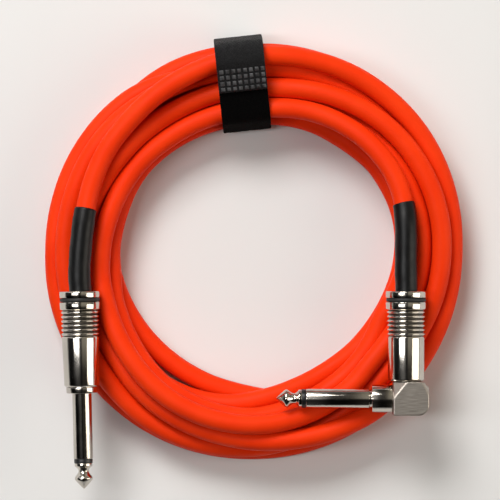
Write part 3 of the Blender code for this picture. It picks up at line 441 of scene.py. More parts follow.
def finish_mesh(name, bm, material, matrix=Matrix(), sharp=40):
    """Object from a bmesh in millimetres, moved to its place in the frame."""
    bmesh.ops.remove_doubles(bm, verts=bm.verts, dist=1e-4)
    bmesh.ops.recalc_face_normals(bm, faces=bm.faces)
    bmesh.ops.transform(bm, matrix=TO_FRAME @ matrix, verts=bm.verts)
    mesh = bpy.data.meshes.new(name)
    bm.to_mesh(mesh)
    bm.free()
    mesh.materials.append(material)
    mesh.shade_smooth()
    mesh.set_sharp_from_angle(angle=math.radians(sharp))
    return add_object(name, mesh)


def mark_faces(piece, material, wanted):
    """Give this material to the faces whose mean texture coordinates are wanted."""
    piece.data.materials.append(material)
    layer = piece.data.uv_layers["UVMap"].data
    for polygon in piece.data.polygons:
        if wanted(*np.mean([layer[k].uv for k in polygon.loop_indices], axis=0)):
            polygon.material_index = 1


def rounded(outline, radius, closed=False, steps=3):
    """The outline with each corner rounded, as far as its neighbours leave room."""
    points = [np.array(p, float) for p in outline]
    count = len(points)
    result = []
    for k, corner in enumerate(points):
        if not closed and k in (0, count - 1):
            result.append(corner)
            continue
        before, after = points[k - 1], points[(k + 1) % count]
        reach = min(radius, 0.45 * np.linalg.norm(before - corner),
                    0.45 * np.linalg.norm(after - corner))
        start = corner + reach * (before - corner) / np.linalg.norm(before - corner)
        end = corner + reach * (after - corner) / np.linalg.norm(after - corner)
        for t in np.linspace(0, 1, steps + 1):
            result.append((1 - t)**2 * start + 2 * t * (1 - t) * corner + t**2 * end)
    return [tuple(p) for p in result]


def add_face(bm, uv, verts, spots):
    """A face and the texture coordinates of its corners."""
    for loop, spot in zip(bm.faces.new(verts).loops, spots):
        loop[uv].uv = spot


def lathe(name, outline, material, matrix, steps=72, sharp=40):
    """Turn (along, radius) points about local Z. An outline that starts off the axis is closed."""
    bm = bmesh.new()
    uv = bm.loops.layers.uv.new("UVMap")
    angles = [math.tau * k / steps for k in range(steps)]
    ends = list(outline)
    rings = [[bm.verts.new((radius * math.cos(a), radius * math.sin(a), along))
              for a in (angles if radius > 0 else angles[:1])] for along, radius in ends]
    if outline[0][1] > 0:
        ends.append(ends[0])
        rings.append(rings[0])
    for row, (first, second) in enumerate(zip(rings, rings[1:])):
        for k in range(steps):
            corners = {}
            for ring, index, at in ((first, k, row), (first, k + 1, row), (second, k + 1, row + 1),
                                    (second, k, row + 1)):
                corners.setdefault(ring[index % len(ring)],
                                   (index / steps, ends[at][0] / UV_LENGTH))
            add_face(bm, uv, list(corners), corners.values())
    return finish_mesh(name, bm, material, matrix, sharp)


def path_frames(points):
    frames = []
    for i in range(len(points)):
        ahead = (points[min(i + 1, len(points) - 1)] - points[max(i - 1, 0)]).normalized()
        side = ahead.cross(Vector((0, 0, 1))).normalized()
        frames.append((side, side.cross(ahead)))
    return frames


def distances(points):
    """How far along the line each of its points lies."""
    return np.concatenate([[0], np.cumsum([(b - a).length for a, b in zip(points, points[1:])])])


def tube(name, points, radii, material, sides=24, inner=None):
    """A round cord along points, or with inner a sleeve that is open at both ends."""
    frames = path_frames(points)
    bm = bmesh.new()
    uv = bm.loops.layers.uv.new("UVMap")
    lengths = distances(points)
    turns = [math.tau * k / sides for k in range(sides)]
    rows = list(zip(points, frames, radii, lengths))
    if inner is not None:
        rows += [(p, f, inner, s) for p, f, s in zip(points, frames, lengths)][::-1]
    rings = [[bm.verts.new(p + (f[0] * math.cos(a) + f[1] * math.sin(a)) * float(r)) for a in turns]
             for p, f, r, _ in rows]
    if inner is not None:
        rings.append(rings[0])
        rows.append(rows[0])
    for j in range(len(rings) - 1):
        for k in range(sides):
            corners = [(k, j), (k + 1, j), (k + 1, j + 1), (k, j + 1)]
            add_face(bm, uv, [rings[row][index % sides] for index, row in corners],
                     [(index / sides * 2, rows[row][3] / UV_LENGTH) for index, row in corners])
    if inner is None:
        bm.faces.new(rings[0])
        bm.faces.new(rings[-1])
    return finish_mesh(name, bm, material, sharp=50)


# ---- materials ----
def colour_ramp(tree, value, stops):
    """Colour by value. A stop is a position with a colour, or with one number for a grey."""
    ramp = tree.nodes.new("ShaderNodeValToRGB")
    stops = list(stops)
    while len(ramp.color_ramp.elements) < len(stops):
        ramp.color_ramp.elements.new(0.5)
    for element, (position, colour) in zip(ramp.color_ramp.elements, stops):
        element.position = position
        element.color = (*(colour if isinstance(colour, tuple) else (colour,) * 3), 1.0)
    tree.links.new(value, ramp.inputs["Fac"])
    return ramp.outputs["Color"]


class Surface:
    """A Principled material, and the few node steps that the object's materials share."""

    def __init__(self, name, **constants):
        self.material = bpy.data.materials.new(name)
        self.material.use_nodes = True
        self.tree = self.material.node_tree
        self.shader = self.tree.nodes["Principled BSDF"]
        for socket, value in constants.items():
            self.shader.inputs[socket.replace("_", " ")].default_value = value
        self.where = self.add("ShaderNodeTexCoord")

    def add(self, kind, **settings):
        node = self.tree.nodes.new(kind)
        for key, value in settings.items():
            if key in node.inputs:
                node.inputs[key].default_value = value
            else:
                setattr(node, key, value)
        return node

    def link(self, output, target):
        self.tree.links.new(output, target)

    def noise(self, scale, stretch=(1, 1, 1), coords="Object", detail=3.0):
        """Noise over the object's own space, stretched along an axis."""
        mapping = self.add("ShaderNodeMapping", Scale=stretch)
        texture = self.add("ShaderNodeTexNoise", Scale=scale, Detail=detail)
        self.link(self.where.outputs[coords], mapping.inputs["Vector"])
        self.link(mapping.outputs["Vector"], texture.inputs["Vector"])
        return texture.outputs["Fac"]

    def wave(self, scale, distortion, direction, coords):
        texture = self.add("ShaderNodeTexWave", Scale=scale, Distortion=distortion)
        texture.bands_direction = direction
        self.link(self.where.outputs[coords], texture.inputs["Vector"])
        return texture.outputs["Fac"]

    def two_tone(self, value, low, high, stops=(0.3, 0.7)):
        """Base colour that runs from low to high between two values."""
        ramp = colour_ramp(self.tree, value, zip(stops, (low, high)))
        self.link(ramp, self.shader.inputs["Base Color"])

    def spread(self, value, low, high):
        """The value's middle part stretched to run from low to high."""
        node = self.add("ShaderNodeMapRange",
                        **{"From Min": 0.3, "From Max": 0.7, "To Min": low, "To Max": high})
        self.link(value, node.inputs["Value"])
        return node.outputs["Result"]

    def math(self, operation, first, second=0.0):
        node = self.add("ShaderNodeMath", operation=operation)
        for value, socket in zip((first, second), node.inputs):
            if isinstance(value, (int, float)):
                socket.default_value = value
            else:
                self.link(value, socket)
        return node.outputs["Value"]

    def plus(self, first, second, share):
        return self.math("ADD", first, self.math("MULTIPLY", second, share))

    def bump(self, value, distance, strength=1.0):
        node = self.add("ShaderNodeBump", Distance=distance, Strength=strength)
        self.link(value, node.inputs["Height"])
        self.link(node.outputs["Normal"], self.shader.inputs["Normal"])

    def roughness(self, output):
        self.link(output, self.shader.inputs["Roughness"])


def jacket_material():
    s = Surface("neon_orange_pvc", Specular_IOR_Level=0.08)
    s.two_tone(s.noise(70, detail=4), (0.78, 0.032, 0.002), (0.84, 0.043, 0.004))
    s.roughness(s.spread(s.noise(160), 0.44, 0.58))
    s.bump(s.plus(s.math("MULTIPLY", s.noise(260), 0.8), s.noise(2600), 0.2), 0.00006)
    return s.material


def heat_shrink_material():
    s = Surface("matte_heat_shrink", Specular_IOR_Level=0.25)
    s.two_tone(s.noise(300, detail=5), (0.0012, 0.0012, 0.0014), (0.0032, 0.0032, 0.0036),
               (0.35, 0.7))
    s.roughness(s.spread(s.noise(420), 0.34, 0.44))
    s.bump(s.plus(s.noise(500), s.noise(3500), 0.35), 0.00005)
    return s.material


def nickel_material():
    """Polished plating with faint turning marks, fine scratches and duller patches."""
    s = Surface("polished_nickel", Metallic=1.0)
    s.two_tone(s.noise(120, detail=4), (0.54, 0.50, 0.45), (0.64, 0.60, 0.54))
    scratches = s.noise(900, (1, 1, 8), detail=2)
    s.roughness(s.plus(s.spread(s.noise(150), 0.08, 0.14), scratches, 0.03))
    s.bump(s.noise(60, (1, 14, 1), "UV"), 0.00001, 0.2)
    return s.material


def elbow_material():
    """Nickel brushed across the block, with a grain of fine parallel lines."""
    s = Surface("brushed_nickel", Metallic=1.0)
    grain = s.noise(260, (1, 30, 30))
    s.two_tone(grain, (0.32, 0.288, 0.255), (0.50, 0.452, 0.40))
    s.roughness(s.plus(s.spread(grain, 0.26, 0.42), s.noise(80), 0.05))
    s.bump(grain, 0.00004, 0.6)
    return s.material


def copper_material():
    """Twisted bare strands, drawn as slanted ridges."""
    s = Surface("stranded_copper", Metallic=1.0)
    wave = s.wave(900.0, 0.5, "DIAGONAL", "Object")
    s.two_tone(wave, (0.50, 0.18, 0.08), (0.86, 0.42, 0.24), (0.2, 0.8))
    s.roughness(s.spread(s.noise(700), 0.22, 0.4))
    s.bump(wave, 0.00006)
    return s.material


def loop_material():
    """Dull black pile that scatters light along its edges."""
    s = Surface("black_loop_pile", Roughness=0.96, Specular_IOR_Level=0.04, Sheen_Weight=0.015,
                Sheen_Roughness=0.5)
    tufts = s.noise(2600, detail=5)
    s.two_tone(tufts, 0.0004, (0.0022, 0.0020, 0.0020), (0.35, 0.75))
    s.bump(tufts, 0.0004)
    return s.material


def hook_material():
    """Black woven tape: ribs along and across, finer than the geometry's own relief."""
    s = Surface("black_woven_tape", Specular_IOR_Level=0.15, Sheen_Weight=0.02)
    weave = s.math("MULTIPLY", s.wave(3.2, 0.6, "X", "UV"), s.wave(3.2, 0.6, "Y", "UV"))
    s.two_tone(s.plus(weave, s.noise(1800, detail=5), 0.9), (0.0015, 0.0015, 0.002),
               (0.022, 0.022, 0.024), (0.4, 1.0))
    s.roughness(s.spread(s.noise(600), 0.52, 0.74))
    s.bump(weave, 0.00008)
    return s.material


def floor_material():
    s = Surface("pale_floor", Roughness=0.85, Specular_IOR_Level=0.1)
    s.two_tone(s.noise(6), 0.71, 0.73)
    return s.material


def plain_material(name, colours, gloss, relief=None, detail=3.0, **constants):
    """Noise in colour, roughness and relief.

    Each of the three starts with the noise's scale. The two colours, the least and the
    greatest roughness, or the relief's depth and strength come after it.
    """
    s = Surface(name, **constants)
    scale, low, high = colours
    s.two_tone(s.noise(scale, detail=detail), low, high)
    scale, smooth, rough = gloss
    s.roughness(s.spread(s.noise(scale), smooth, rough))
    if relief is not None:
        scale, depth, strength = relief
        s.bump(s.noise(scale), depth, strength)
    return s.material


def make_materials():
    return {
        "jacket": jacket_material(), "heat_shrink": heat_shrink_material(),
        "nickel": nickel_material(), "elbow": elbow_material(), "copper": copper_material(),
        "loop": loop_material(), "hook": hook_material(),
        # Duller plating at the bottom of the barrels' grooves, its colour darkened as painted shade
        # for the grooves' self-shadowing.
        "groove": plain_material("groove_painted_shade",
                                 (500, (0.07, 0.062, 0.054), (0.15, 0.135, 0.12)),
                                 (700, 0.34, 0.5), Metallic=1.0),
        "thread": plain_material("thread_nickel", (400, (0.50, 0.47, 0.42), (0.66, 0.62, 0.57)),
                                 (700, 0.20, 0.34), (1500, 0.00002, 0.5), Metallic=1.0),
        "rubber": plain_material("black_rubber", (600, 0.006, 0.014), (500, 0.48, 0.66),
                                 (2500, 0.00003, 1.0)),
        "insulator": plain_material("black_insulator_plastic",
                                    (900, (0.006, 0.006, 0.007), (0.013, 0.013, 0.014)),
                                    (700, 0.28, 0.42)),
        "dielectric": plain_material("white_polyethylene",
                                     (500, (0.72, 0.71, 0.68), (0.82, 0.82, 0.80)),
                                     (600, 0.42, 0.58), (900, 0.00003, 0.5),
                                     Specular_IOR_Level=0.4),
        "lug": plain_material("tinned_brass", (350, (0.60, 0.52, 0.34), (0.80, 0.76, 0.66)),
                              (500, 0.2, 0.38), (800, 0.00003, 0.6), detail=5, Metallic=1.0),
        "clear": plain_material("clear_insulating_tube",
                                (200, (0.66, 0.69, 0.72), (0.78, 0.80, 0.82)),
                                (300, 0.12, 0.26), (350, 0.00005, 0.4), Alpha=0.38, IOR=1.46),
        # The middles of the weld's squares are molten, and smoother than the tape round them.
        "weld": plain_material("pressed_weld_dots",
                               (420, (0.008, 0.008, 0.009), (0.085, 0.085, 0.09)),
                               (900, 0.34, 0.56), (2400, 0.00012, 1.0), detail=5,
                               Specular_IOR_Level=0.5),
    }


# ---- cable ----
def fine_points(path, start, end):
    count = max(2, round(abs(end - start) / FINE_STEP) + 1)
    return [path.point(c) for c in np.linspace(start, end, count)]


def build_cable(path, materials):
    """The tied coil, and the two free ends that run from under the strap into the plugs."""
    edge = STRAP_WIDTH / 2 + HINGE_FROM_STRAP
    first, last = strap_clock(path, 0), strap_clock(path, LAST_TURN)
    points = fine_points(path, first, last)
    coil = tube("coiled_cable", points, [CABLE_R] * len(points), materials["jacket"])
    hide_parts("cable_coil")
    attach(coil, "coil")

    for prefix, under_strap, mouth, away in (("straight", last, COIL_END - MOUTH_CLOCK, 1),
                                             ("angled", first, COIL_START + MOUTH_CLOCK, -1)):
        rear, along = PLUG_REARS[prefix]
        points = fine_points(path, under_strap, mouth)
        points += [rear - along * back for back in (HEAT_SHRINK_START, JACKET_END)]
        tail = tube(prefix + "_free_cable", points, [CABLE_R] * len(points), materials["jacket"])
        hinge = path.clock_at_distance(under_strap, away * edge)
        start = path.point(path.clock_at_distance(hinge, -away * LIFT_BLEND[0]))
        end = path.point(path.clock_at_distance(hinge, away * LIFT_BLEND[1]))
        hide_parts(prefix + "_cable_end")
        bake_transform(tail)
        build_heat_shrink(prefix, points, rear, along, materials)


def build_heat_shrink(prefix, jacket, rear, along, materials):
    """Sleeve shrunk over the jacket, a little tighter at its open end."""
    line = [rear - along * HEAT_SHRINK_START] + jacket[-3::-1]
    lengths = distances(line)
    spots = np.concatenate([np.linspace(0, HEAT_SHRINK_LENGTH - 1.6, 26),
                            HEAT_SHRINK_LENGTH - np.array([1.1, 0.7, 0.4, 0.2, 0.08, 0.0])])
    points = [Vector(p) for p in zip(*(np.interp(spots, lengths, axis) for axis in zip(*line)))]
    swell = 0.05 * np.sin(spots * 0.7) + 0.03 * np.sin(spots * 1.9 + 1.0)
    tight = 0.16 * np.clip((spots - HEAT_SHRINK_LENGTH + 0.4) / 0.4, 0, 1)**2
    sleeve = tube(prefix + "_heat_shrink_sleeve", points, HEAT_SHRINK_R + swell - tight,
                  materials["heat_shrink"], 36, inner=CABLE_R + 0.05)
    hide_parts(prefix + "_heat_shrink")
    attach(sleeve, prefix + "_end")


# ---- plugs ----
def turned_frame(position, direction):
    """Matrix in millimetres whose local +Z runs along direction and whose +Y points up."""
    ahead = Vector(direction).normalized()
    up = Vector((0, 0, 1))
    turn = Matrix((up.cross(ahead), up, ahead)).transposed()
    return Matrix.Translation(Vector(position)) @ turn.to_4x4()


def add_turned(name, outline, material, matrix, body, node, slot, **options):
    piece = lathe(name, outline, material, matrix, **options)
    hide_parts(node)
    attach(piece, body)
    return piece


# One ridge of a barrel: distance along it, and how deep below the barrel's radius.
RIDGE = [(GROOVE_PITCH / 2 + reach, 0.62 * abs(reach / 0.6)**2.1 - 0.04)
         for reach in np.linspace(-0.6, 0.6, 13)]


def barrel_outline(length, plain_r):
    """Outer and inner outline; plain_r is the plain part's radius at its rear and its front."""
    z = -length
    outer = [(z, BARREL_RIM_R - 0.25), (z + 0.25, BARREL_RIM_R), (z + RIM_LENGTH, BARREL_RIM_R),
             (z + RIM_LENGTH, RING_GROOVE_R)]
    z += RIM_LENGTH + RING_GROOVE_LENGTH
    outer += [(z, RING_GROOVE_R), (z, BARREL_RIM_R),
              (z + SECOND_RIM_LENGTH - 0.3, BARREL_RIM_R - 0.05)]
    z += SECOND_RIM_LENGTH
    for _ in range(GROOVE_COUNT):
        outer += [(z + along, BARREL_R - deep) for along, deep in RIDGE]
        z += GROOVE_PITCH
    outer += [(z + 0.15, plain_r[0] - 0.12), (z + 0.45, plain_r[0]), (-0.45, plain_r[1]),
              (0, plain_r[1] - 0.45)]
    inner = [(0, BARREL_BORE_R), (-length + 2.0, BARREL_BORE_R), (-length + 1.4, BARREL_MOUTH_R),
             (-length, BARREL_MOUTH_R)]
    return rounded(outer + inner, 0.16, closed=True, steps=2)


def thread_outline(start, length):
    points = []
    for k in range(int(length / THREAD_PITCH) - 1):
        z = start - 0.5 - k * THREAD_PITCH
        points += [(z, SHANK_R - THREAD_DEPTH), (z - 0.42, SHANK_R - 0.02),
                   (z - 0.58, SHANK_R - 0.02)]
    points.append((start - length, SHANK_R - THREAD_DEPTH))
    return points[::-1]


def build_barrel(prefix, length, front, plain_r, materials):
    start = -length + RIM_LENGTH + FIT
    end = start + RING_GROOVE_LENGTH - 2 * FIT
    ring_r = (RING_GROOVE_R + 0.25, BARREL_RIM_R - 0.1)
    ring = [(start, ring_r[1] - 0.1), (end, ring_r[1] - 0.1), (end, ring_r[0]), (start, ring_r[0])]
    middle = ((start + end) / 2, ring_r[1])
    add_turned(prefix + "_black_ring", rounded([ring[0], middle, *ring[1:]], 0.3, closed=True),
               materials["rubber"], front, prefix + "_ring", prefix + "_barrel_ring",
               "black_rubber_ring")
    barrel = add_turned(prefix + "_turned_barrel", barrel_outline(length, plain_r),
                        materials["nickel"], front, prefix + "_barrel", prefix + "_barrel",
                        "bright_nickel")
    ridges_start = -length + RIM_LENGTH + RING_GROOVE_LENGTH + SECOND_RIM_LENGTH

    # The faces at the bottom of the grooves, which get the darker colour painted as groove shade.
    def in_groove_shade(_, v):
        along = UV_LENGTH * v - ridges_start
        from_ridge = abs(along % GROOVE_PITCH - GROOVE_PITCH / 2)
        return 0 < along < GROOVE_COUNT * GROOVE_PITCH and from_ridge > RIDGE_HALF_WIDTH

    mark_faces(barrel, materials["groove"], in_groove_shade)


# Neck, ball and point of a tip: distance from the insulator, and radius.
TIP_PROFILE = [(1.15, 2.72), (1.45, 2.35), (1.9, 1.92), (2.45, 1.72), (3.0, 1.80),
               (3.6, 2.15), (4.2, 2.62), (4.7, 2.90), (5.15, 2.95), (5.55, 2.80),
               (6.1, 2.36), (6.8, 1.72), (7.5, 1.06), (8.05, 0.50), (8.3, 0.22)]


def build_pin(prefix, pin, rod_start, materials):
    """Tip contact with its ring, neck, ball and point, and the insulator behind it."""
    body = prefix + "_end"
    z = SLEEVE_LENGTH + INSULATOR_LENGTH
    keys = np.array(TIP_PROFILE) + (z, 0)
    fine = np.linspace(0, len(keys) - 1, 4 * len(keys))
    curve = list(zip(*(catmull_rom(fine, np.arange(len(keys)), keys[:, k]) for k in (0, 1))))
    ring = rounded([(z, ROD_R), (z, TIP_RING_R - 0.05), (z + 0.95, TIP_RING_R - 0.05), curve[0]],
                   0.15)
    tip = [(rod_start, 0), (rod_start, ROD_R)] + ring + curve[1:] + [(z + TIP_LENGTH, 0)]
    add_turned(prefix + "_tip", tip, materials["nickel"], pin, body, prefix + "_tip_contact",
               "bright_nickel", steps=56, sharp=60)
    start, end = SLEEVE_LENGTH + 0.05, SLEEVE_LENGTH + INSULATOR_LENGTH - 0.05
    band = rounded([(start, TIP_RING_R + 0.12), (end, TIP_RING_R + 0.12), (end, INSULATOR_BORE_R),
                    (start, INSULATOR_BORE_R)], 0.12, closed=True)
    add_turned(prefix + "_tip_band", band, materials["insulator"], pin, body,
               prefix + "_tip_insulator", "black_insulator", steps=56)


def build_straight_plug(materials):
    rear, along = PLUG_REARS["straight"]
    front = rear + along * SHANK_LENGTH
    shoulder = front + along * STRAIGHT_COLLAR_LENGTH
    pin = turned_frame(shoulder, along)
    rear_z = -(STRAIGHT_COLLAR_LENGTH + SHANK_LENGTH)
    collar_back = -STRAIGHT_COLLAR_LENGTH + FIT
    collar = rounded([(collar_back, SHANK_R - THREAD_DEPTH), (collar_back, STRAIGHT_COLLAR_R),
                      (0, STRAIGHT_COLLAR_R - 0.15), (0, SLEEVE_R), (SLEEVE_LENGTH, SLEEVE_R),
                      (SLEEVE_LENGTH, CORE_BORE_R)], 0.22)
    outline = thread_outline(-STRAIGHT_COLLAR_LENGTH - 0.1, SHANK_LENGTH - 0.1) + collar
    outline.append((rear_z, CORE_BORE_R))
    add_turned("straight_sleeve_and_collar", outline, materials["nickel"], pin, "straight_end",
               "straight_sleeve_contact", "bright_nickel")
    build_pin("straight", pin, rear_z - 0.2, materials)
    build_barrel("straight", STRAIGHT_BARREL_LENGTH, turned_frame(front, along), STRAIGHT_PLAIN_R,
                 materials)


def build_angled_plug(materials):
    rear, along = PLUG_REARS["angled"]
    front = rear + along * SHANK_LENGTH
    pin = turned_frame((ANGLED_COLLAR_FACE_X, PIN_Y, PLUG_Z), (-1, 0, 0))
    elbow_side = ANGLED_X + ELBOW_OFFSET_X - ELBOW_SIZE[0] / 2
    back = -(elbow_side - ANGLED_COLLAR_FACE_X) + 0.12
    shank_back = back - PIN_SHANK_LENGTH
    outline = rounded([(shank_back, PIN_BORE_R - 0.3), (back, PIN_BORE_R - 0.3),
                       (back, ANGLED_COLLAR_R), (0, ANGLED_COLLAR_R), (0, SLEEVE_R - 0.3),
                       (0.85, SLEEVE_R - 0.3), (0.95, SLEEVE_R), (SLEEVE_LENGTH, SLEEVE_R),
                       (SLEEVE_LENGTH, CORE_BORE_R), (shank_back, CORE_BORE_R)], 0.2, closed=True)
    add_turned("angled_sleeve_and_collar", outline, materials["nickel"], pin, "angled_end",
               "angled_sleeve_contact", "bright_nickel")
    build_pin("angled", pin, -(ANGLED_X - ANGLED_COLLAR_FACE_X) - 0.4, materials)
    build_elbow(front, materials)
    build_barrel("angled", ANGLED_BARREL_LENGTH, turned_frame(front, along), ANGLED_PLAIN_R,
                 materials)


def build_elbow(front, materials):
    """Cast block with slanted corners beside its neck, and the threaded neck."""
    size_x, size_y, size_z = ELBOW_SIZE
    centre = Vector((ANGLED_X + ELBOW_OFFSET_X, PIN_Y, PLUG_Z))
    left, right, bottom = -size_x / 2, size_x / 2, -size_y / 2
    top, half = front.y - PIN_Y - 0.2, size_z / 2
    bm = bmesh.new()
    bmesh.ops.create_cube(bm, size=1)
    for vert in bm.verts:
        vert.co = Vector((vert.co.x * size_x, bottom + (vert.co.y + 0.5) * (top - bottom),
                          vert.co.z * size_z))
    for side, offset, segments in ((-1, ELBOW_ROUND, 12), (1, ELBOW_CHAMFER, 1)):
        corner = [e for e in bm.edges if e.calc_length() > size_z - 1
                  and all(v.co.x > right - 1e-3 and v.co.y * side > 4 for v in e.verts)]
        bmesh.ops.bevel(bm, geom=corner, offset=offset, segments=segments, profile=0.5,
                        affect="EDGES")
    # Two places on the upper or lower face that a slanted corner's edge runs through, the
    # corner of the block that it cuts off, and how far down that corner it reaches.
    facets = [((left + 0.2, 0.4), (-1.6, top - 0.3), (left, top), 3.0),
              ((3.7, top - 0.3), (right - 0.2, 1.6), (right, top), 4.0)]
    for sign in (1, -1):
        for first, second, corner, depth in facets:
            a, b = Vector((*first, sign * half)), Vector((*second, sign * half))
            c = Vector((*corner, sign * (half - depth)))
            normal = (b - a).cross(c - a).normalized()
            if normal.dot(a) < 0:
                normal.negate()
            geometry = bm.verts[:] + bm.edges[:] + bm.faces[:]
            cut = bmesh.ops.bisect_plane(bm, geom=geometry, plane_co=a, plane_no=normal,
                                         clear_outer=True)["geom_cut"]
            rim = [e for e in cut if isinstance(e, bmesh.types.BMEdge)]
            bmesh.ops.contextual_create(bm, geom=rim)
    block = finish_mesh("angled_elbow_block", bm, materials["elbow"],
                        Matrix.Translation(centre), 34)
    soften = block.modifiers.new("edges", "BEVEL")
    soften.width = 0.0004
    soften.segments = 3
    soften.limit_method = "ANGLE"
    soften.angle_limit = math.radians(24)
    soften.harden_normals = True
    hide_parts("angled_elbow")
    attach(block, "angled_end")
    neck = thread_outline(-0.1, SHANK_LENGTH - 0.1)
    neck += [(1.5, SHANK_R - THREAD_DEPTH), (1.5, ELBOW_BORE_R), (-SHANK_LENGTH, ELBOW_BORE_R)]
    piece = lathe("angled_elbow_neck", neck, materials["thread"],
                  turned_frame(front, ANGLED_ALONG))
    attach(piece, "angled_end")


# ---- strap ----
def smooth_line(line, start, end, step):
    """Points and outward normals along the strap line, with its corners eased."""
    lengths = np.arange(start, end + step / 2, step)
    reach = np.arange(-8, 9) * 0.35
    weights = np.exp(-(reach / 1.4)**2)
    weights /= weights.sum()
    spine = []
    for s in lengths:
        spots = [line.at(float(np.clip(s + d, 0, line.length[-1])), 0) for d in reach]
        eased = sum((p * float(w) for w, p in zip(weights, spots)), Vector())
        sharp = line.at(s, 0)
        normal = line.at(s, 1) - sharp
        lift = max(0.0, (sharp - eased).dot(normal))
        spine.append((eased + normal * lift * 0.65, normal.normalized()))
    return lengths, spine


def ribbon(name, line, start, end, offset, thickness, relief, material, step=0.3, across=54):
    """A flat band along the line: relief(s, a) raises its outer face; both ends are closed."""
    lengths, spine = smooth_line(line, start, end, step)
    bm = bmesh.new()
    uv = bm.loops.layers.uv.new("UVMap")
    half = STRAP_WIDTH / 2
    sides = np.linspace(-half, half, across)
    edge = 0.35
    outer, inner = [], []
    for s, (point, normal) in zip(lengths, spine):
        ends = min(s - start, end - s)
        row_out, row_in = [], []
        for a in sides:
            rim = min(half - abs(a), ends + 0.02)
            thin = 0.30 * thickness * (1 - min(rim / edge, 1.0))**2
            place = point + STRAP_ACROSS * a
            height = offset + thickness - thin + relief(s, a)
            row_out.append(bm.verts.new(place + normal * height))
            row_in.append(bm.verts.new(place + normal * (offset + thin)))
        outer.append(row_out)
        inner.append(row_in)
    last = len(lengths) - 1

    def face(*corners):
        """A face whose texture coordinates are its place on the band, in millimetres."""
        add_face(bm, uv, [side[j][k] for side, j, k in corners],
                 [(sides[k], lengths[j]) for _, j, k in corners])

    for j in range(last):
        for k in range(across - 1):
            face((outer, j, k), (outer, j, k + 1), (outer, j + 1, k + 1), (outer, j + 1, k))
            face((inner, j, k), (inner, j + 1, k), (inner, j + 1, k + 1), (inner, j, k + 1))
        for k in (0, across - 1):
            face((outer, j, k), (outer, j + 1, k), (inner, j + 1, k), (inner, j, k))
    for j in (0, last):
        for k in range(across - 1):
            face((outer, j, k), (outer, j, k + 1), (inner, j, k + 1), (inner, j, k))
    return finish_mesh(name, bm, material, sharp=70)


def inside_square(back, across):
    """Distance from the middle of the weld's square here, as a share of the pitch.

    It is infinite off the weld.
    """
    row = (back - WELD_MARGIN[0]) / WELD_PITCH[0]
    column = (across + STRAP_WIDTH / 2 - WELD_MARGIN[1]) / WELD_PITCH[1]
    if not (0 <= row < WELD_COUNT[0] and 0 <= column < WELD_COUNT[1]):
        return math.inf
    return max(abs(row % 1 - 0.5), abs(column % 1 - 0.5))


def build_strap(path, materials):
    line = StrapLine(path)
    hinge = shoulder_length(line)
    weld_end = line.length_on_top(WELD_RADIAL[0])
    loop_start = line.length_on_top(WELD_RADIAL[1] + 1.0)

    def pile(s, a):
        spot = Vector((a, s, 3.0))
        return 0.10 * noise.noise(spot * 1.6) + 0.12 * noise.noise(spot * 4.2)

    def weave(s, a):
        rib = WEAVE_HEIGHT * math.sin(math.tau * s) * math.sin(math.tau * a)
        inside = inside_square(weld_end - s, a)
        if inside < math.inf:
            square = 1 - min(1.0, inside / WELD_SQUARE)**3
            return rib * 0.3 - WELD_DEPTH + SQUARE_HEIGHT * square
        return rib + 0.03 * noise.noise(Vector((a, s, 9.0)) * 0.8)

    loop_band = ribbon("strap_loop_side", line, loop_start, line.one_turn + hinge - TAB_GAP,
                       LOOP_OFFSET, LOOP_THICKNESS - 0.12, pile, materials["loop"], step=0.4)
    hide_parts("strap_loop_band")
    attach(loop_band, "coil")

    tape = ribbon("strap_hook_tape", line, 0.0, weld_end, HOOK_OFFSET, HOOK_THICKNESS, weave,
                  materials["hook"], step=0.22, across=84)
    mark_faces(tape, materials["weld"],
               lambda u, v: inside_square(weld_end - v, u) < WELD_MOLTEN)
    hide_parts("strap_hook_band", "strap_pull_tab")
    start, end = (line.at(hinge + away, HOOK_OFFSET) for away in (PEEL_BLEND, -PEEL_BLEND))
    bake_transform(tape)


# ---- stage ----
def add_area(name, position, size, power, colour):
    light = bpy.data.lights.new(name, "AREA")
    light.shape = "RECTANGLE"
    light.size, light.size_y = size
    light.energy = power
    light.color = colour
    holder = add_object(name, light, position)
    holder.rotation_euler = (-Vector(position)).to_track_quat("-Z", "Y").to_euler()


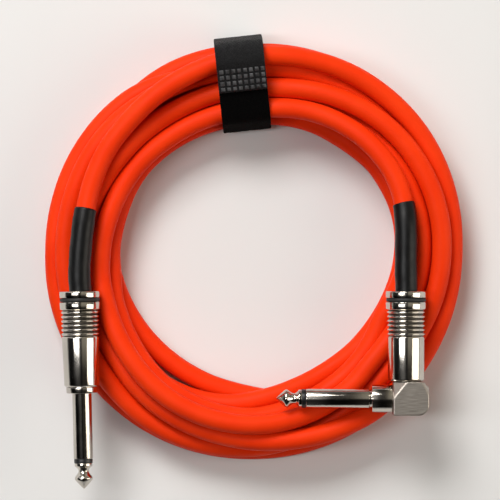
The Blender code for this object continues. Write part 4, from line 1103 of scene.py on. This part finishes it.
def build_world():
    """A soft studio round the object: pale, with dark and warm bands that the metal mirrors."""
    world = bpy.data.worlds.new("studio")
    bpy.context.scene.world = world
    world.use_nodes = True
    tree = world.node_tree
    background = tree.nodes["Background"]
    background.inputs["Strength"].default_value = WORLD_STRENGTH
    where = tree.nodes.new("ShaderNodeTexCoord")
    split = tree.nodes.new("ShaderNodeSeparateXYZ")
    tree.links.new(where.outputs["Generated"], split.inputs["Vector"])
    sides = world_ramp(tree, split.outputs["X"], [
        (0.00, 0.10), (0.08, 0.03), (0.20, 0.03), (0.27, 1.00), (0.44, (1.00, 0.99, 0.97)),
        (0.48, 0.06), (0.55, (0.08, 0.07, 0.06)), (0.60, (0.80, 0.75, 0.64)),
        (0.93, (0.62, 0.57, 0.47)), (1.00, (0.12, 0.11, 0.10))])
    ends = world_ramp(tree, split.outputs["Y"], [
        (0.00, 0.10), (0.25, 0.04), (0.42, 0.08), (0.50, 0.85), (0.60, 1.00),
        (1.00, (1.00, 0.97, 0.90))])
    horizon = world_ramp(tree, split.outputs["Z"], [(0.53, 1.00), (0.56, 0.00)])
    studio = world_mix(tree, sides, ends)
    studio.blend_type = "MULTIPLY"
    studio.inputs["Factor"].default_value = 1.0
    pale = world_mix(tree, studio.outputs["Result"])
    pale.inputs["B"].default_value = (*HORIZON_COLOUR, 1.0)
    tree.links.new(horizon, pale.inputs["Factor"])
    tree.links.new(pale.outputs["Result"], background.inputs["Color"])


def world_mix(tree, first, second=None):
    mix = tree.nodes.new("ShaderNodeMix")
    mix.data_type = "RGBA"
    tree.links.new(first, mix.inputs["A"])
    if second is not None:
        tree.links.new(second, mix.inputs["B"])
    return mix


def world_ramp(tree, value, stops):
    """Colour by one coordinate of the direction, which runs from -1 to 1."""
    scaled = tree.nodes.new("ShaderNodeMapRange")
    scaled.inputs["From Min"].default_value = -1.0
    tree.links.new(value, scaled.inputs["Value"])
    return colour_ramp(tree, scaled.outputs["Result"], stops)


def build_stage():
    bm = bmesh.new()
    bmesh.ops.create_grid(bm, x_segments=1, y_segments=1, size=FLOOR_HALF_WIDTH)
    mesh = bpy.data.meshes.new("floor")
    bm.to_mesh(mesh)
    bm.free()
    mesh.materials.append(floor_material())
    floor = add_object("floor", mesh, (0, 0, FLOOR_Z))
    build_world()
    for light in LIGHTS:
        add_area(*light)
    camera = bpy.data.cameras.new("camera")
    camera.lens = camera.sensor_width / 2 / math.tan(math.radians(CAMERA_FIELD / 2))
    camera.clip_start, camera.clip_end = 0.05, 20.0
    bpy.context.scene.camera = add_object("camera", camera, CAMERA_PLACE)
    bpy.context.scene.view_settings.view_transform = "Standard"


# ---- assembly ----
INNER_MATERIALS = {"_rod_bush": "dielectric", "_core": "dielectric", "_centre_wire": "copper",
                   "_shield_pigtail": "copper", "_tip_lug": "lug", "_ground_lug": "lug",
                   "_insulating_tube": "clear"}


def main():
    materials = make_materials()
    for name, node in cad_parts.items():
        for ending, key in INNER_MATERIALS.items():
            if name.endswith(ending):
                node.data.materials.clear()
                node.data.materials.append(materials[key])
    path = CablePath()
    build_cable(path, materials)
    build_straight_plug(materials)
    build_angled_plug(materials)
    build_strap(path, materials)
    build_stage()


main()
